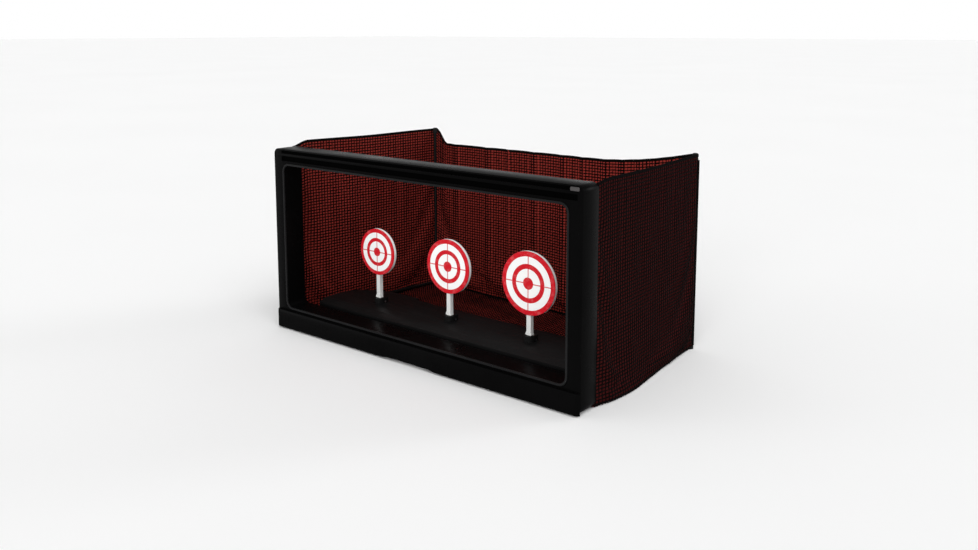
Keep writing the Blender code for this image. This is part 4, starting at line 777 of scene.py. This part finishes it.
def floor_panel(left, right, rear):
    """The net's floor, sewn to the feet of the three walls, with long soft folds."""
    columns, rows = round(rear.width / CLOTH_STEP) + 1, round(right.width / CLOTH_STEP) + 1
    foot = np.array(0.0)
    first, last = rear.at(foot, foot), rear.at(foot + 1, foot)
    grid = []
    for j in range(rows):
        deep = np.array(j / (rows - 1))
        row = []
        for i in range(columns):
            along = np.array(i / (columns - 1))
            spot = left.at(deep, foot) * (1 - along) + right.at(deep, foot) * along
            spot = spot + (rear.at(along, foot) - (first * (1 - along) + last * along)) * deep
            slant = spot[0] * FLOOR_FOLDS_ACROSS + spot[1] * FLOOR_FOLDS_SLANT
            fold = noise.noise(Vector((slant, spot[1] * FLOOR_FOLDS_DEEP, FLOOR_SEED)))
            off_base = max(BASE_LOW.x - spot[0], spot[0] - BASE_HIGH.x, spot[1] - BASE_HIGH.y)
            from_edge = FLOOR_HOLD * min(along, 1 - along, deep, 1 - deep)
            held = min(1.0, from_edge, max(0.0, off_base / FLOOR_FLAT))
            row.append((spot[0], spot[1], CLOTH_LOW + FLOOR_FOLD * max(0.0, fold) * held))
        grid.append(row)
    return Panel("net_floor_cloth", grid, (0.0, 0.0, -1.0), floor_mask)


def groove_painted_shade_strips():
    """Near-black matt strips on the floors of the two long grooves in the frame's top bar: painted shade
    that darkens the grooves.
    """
    for name, (low, high), right in (
        ("upper_groove_painted_shade", UPPER_GROOVE, UPPER_GROOVE_RIGHT),
        ("lower_groove_painted_shade", LOWER_GROOVE, LOWER_GROOVE_RIGHT),
    ):
        corners = [(GROOVE_LEFT, low), (right, low), (right, high), (GROOVE_LEFT, high)]
        vertices = [(x, GROOVE_FLOOR - off, z) for off in GROOVE_SHADE_FACES for x, z in corners]
        count = len(corners)
        faces = [tuple(range(count))[::-1], tuple(range(count, 2 * count))]
        for k in range(count):
            after = (k + 1) % count
            faces.append((k, after, after + count, k + count))
        piece(name, vertices, faces, SHADOW, smooth=False)


def build_net():
    """The four panels with their mesh, bindings and seams, in place of the CAD panels."""
    front_left, front_right = (-SIDE_X, NET_FRONT), (SIDE_X, NET_FRONT)
    rear_left = (REAR_LEFT.x - CORNER_OUT_LEFT, REAR_LEFT.y + CORNER_BACK)
    rear_right = (REAR_RIGHT.x + CORNER_OUT_RIGHT, REAR_RIGHT.y + CORNER_BACK)
    left = wall("net_left_cloth", front_left, rear_left, -1, side_top(FRONT_RISE_LEFT), left_bulge)
    right = wall("net_right_cloth", front_right, rear_right, 1, side_top(FRONT_RISE_RIGHT), right_bulge)
    rear = wall("net_rear_cloth", rear_left, rear_right, -1, rear_top, rear_bulge)
    floor = floor_panel(left, right, rear)
    for panel, node_name, support in (
        (left, "net_left", "net_rod_left"), (right, "net_right", "net_rod_right"),
        (rear, "net_rear", "net_rod_left"), (floor, "net_floor", "rubber_foot_3"),
    ):  # fmt: skip
        sheet = lining(panel)
        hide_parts(node_name)
        extras = [threads(panel)]
        if panel is not floor:
            share = np.linspace(0, 1, round(panel.width / HEM_STEP))
            rim = panel.at(share, np.ones_like(share)) - np.array((0, 0, HEM_HEIGHT * HEM_DROP))
            foot = panel.at(share, np.full_like(share, FOOT_SEAM_SHARE))
            extras.append(strip(f"{panel.name}_hem", rim, (0, 0, 1), HEM_THICKNESS, HEM_HEIGHT))
            seam = strip(f"{panel.name}_foot_seam", foot, (0, 0, 1), FOOT_SEAM_THICKNESS, FOOT_SEAM_HEIGHT)
            extras.append(seam)
    heights = np.linspace(*SEAM_SPAN, SEAM_POINTS)
    for word, share in (("left", 0.0), ("right", 1.0)):
        line = rear.at(np.full_like(heights, share), heights)
        strip(f"corner_seam_{word}", line, (0, 1, 0), SEAM_WIDTH * SEAM_FLATNESS, SEAM_WIDTH)


def disc(number):
    """A fine turned disc in place of the CAD one: printed face, rounded edge, dished rear with a hub."""
    name = f"target_{number}_disc"
    low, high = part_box(name)
    centre = (low + high) / 2
    radius, half = (high.x - low.x) / 2, (high.y - low.y) / 2
    edge, dish = DISC_EDGE, half - DISH_DEPTH
    profile = [(0.0, -half)]
    profile += [(radius * share, -half) for share in FACE_LOOPS]
    angles = [math.pi / 2 * step / DISC_EDGE_STEPS for step in range(DISC_EDGE_STEPS + 1)]
    for angle in angles:
        profile.append((radius - edge + edge * math.sin(angle), -half + edge - edge * math.cos(angle)))
    for angle in angles:
        profile.append((radius - edge + edge * math.cos(angle), half - edge + edge * math.sin(angle)))
    profile += [(radius - DISH_START, half), (radius - DISH_FOOT, dish), (HUB_FOOT, dish)]
    profile += [(HUB_RADIUS, half), (0.0, half)]
    vertices, faces = [], []
    turns = DISC_SEGMENTS
    for across, deep in profile[1:-1]:
        for k in range(turns):
            angle = 2 * math.pi * k / turns
            vertices.append((across * math.cos(angle), deep, across * math.sin(angle)))
    first, last = len(vertices), len(vertices) + 1
    vertices += [(0.0, profile[0][1], 0.0), (0.0, profile[-1][1], 0.0)]
    rings = len(profile) - 2
    for ring in range(rings - 1):
        for k in range(turns):
            a, b = ring * turns + k, ring * turns + (k + 1) % turns
            faces.append((a, b, b + turns, a + turns))
    for k in range(turns):
        after = (k + 1) % turns
        faces.append((first, after, k))
        base = (rings - 1) * turns
        faces.append((last, base + k, base + after))
    face = printed_disc(f"disc_print_{number}", radius)
    mesh = bpy.data.meshes.new(f"{name}_fine")
    mesh.from_pydata(vertices, [], faces)
    mesh.materials.append(face)
    mesh.shade_smooth()
    mesh.set_sharp_from_angle(angle=DISC_SHARP)
    made = bpy.data.objects.new(f"{name}_fine", mesh)
    bpy.context.scene.collection.objects.link(made)
    made.location = centre
    clean(mesh, turn=True)
    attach(made, f"target_{number}")
    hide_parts(name)


# ---- Studio ----
def light_studio():
    """A white sky that is darker overhead, a broad key light and the far soft lights."""
    world = bpy.data.worlds.new("studio")
    world.use_nodes = True
    links = world.node_tree.links
    where = world.node_tree.nodes.new("ShaderNodeTexCoord")
    apart = world.node_tree.nodes.new("ShaderNodeSeparateXYZ")
    links.new(where.outputs["Generated"], apart.inputs[0])
    ramp = world.node_tree.nodes.new("ShaderNodeValToRGB")
    ramp.color_ramp.interpolation = "EASE"
    while len(ramp.color_ramp.elements) < len(SKY_HEIGHTS):
        ramp.color_ramp.elements.new(0.5)
    for stop, height, level in zip(ramp.color_ramp.elements, SKY_HEIGHTS, SKY_LEVELS):
        stop.position = height
        stop.color = (level, level, level, 1.0)
    links.new(apart.outputs["Z"], ramp.inputs["Fac"])
    links.new(ramp.outputs["Color"], world.node_tree.nodes["Background"].inputs["Color"])
    bpy.context.scene.world = world
    for name, comes_from, width, strength in (KEY_LIGHT, *SOFT_LIGHTS):
        sun = bpy.data.lights.new(name, "SUN")
        sun.angle = width
        sun.energy = strength
        made = bpy.data.objects.new(name, sun)
        made.rotation_euler = (-Vector(comes_from)).to_track_quat("-Z", "Y").to_euler()
        bpy.context.scene.collection.objects.link(made)


def lay_floor():
    """A wide white ground with hardly visible clouds."""
    bpy.ops.mesh.primitive_plane_add(size=FLOOR_REACH, location=(0, 0, 0))
    ground = bpy.context.object
    ground.name = "studio_floor"
    paint, tree, shader = new_material("studio_floor")
    where = tree.nodes.new("ShaderNodeTexCoord").outputs["Object"]
    cloud = spread(tree, noise_node(tree, where, scale=1.5, detail=3.0), low=0.0, high=1.0)
    shade = tuple(channel * FLOOR_SHADE for channel in FLOOR_COLOUR)
    tree.links.new(mix(tree, cloud, FLOOR_COLOUR, shade), shader.inputs["Base Color"])
    shader.inputs["Roughness"].default_value = 0.9
    shader.inputs["Specular IOR Level"].default_value = 0.1
    ground.data.materials.append(paint)


def place_camera():
    lens = bpy.data.cameras.new("camera")
    lens.lens = CAMERA_LENS
    lens.shift_x, lens.shift_y = CAMERA_SHIFT
    viewer = bpy.data.objects.new("camera", lens)
    viewer.location = CAMERA_PLACE
    viewer.rotation_euler = (math.pi / 2 - CAMERA_PITCH, 0, CAMERA_HEADING)
    bpy.context.scene.collection.objects.link(viewer)
    bpy.context.scene.camera = viewer
    bpy.context.scene.view_settings.view_transform = "Standard"


light_studio()
lay_floor()
place_camera()
finish_cad_nodes()
for target_number in (1, 2, 3):
    disc(target_number)
build_net()
groove_painted_shade_strips()
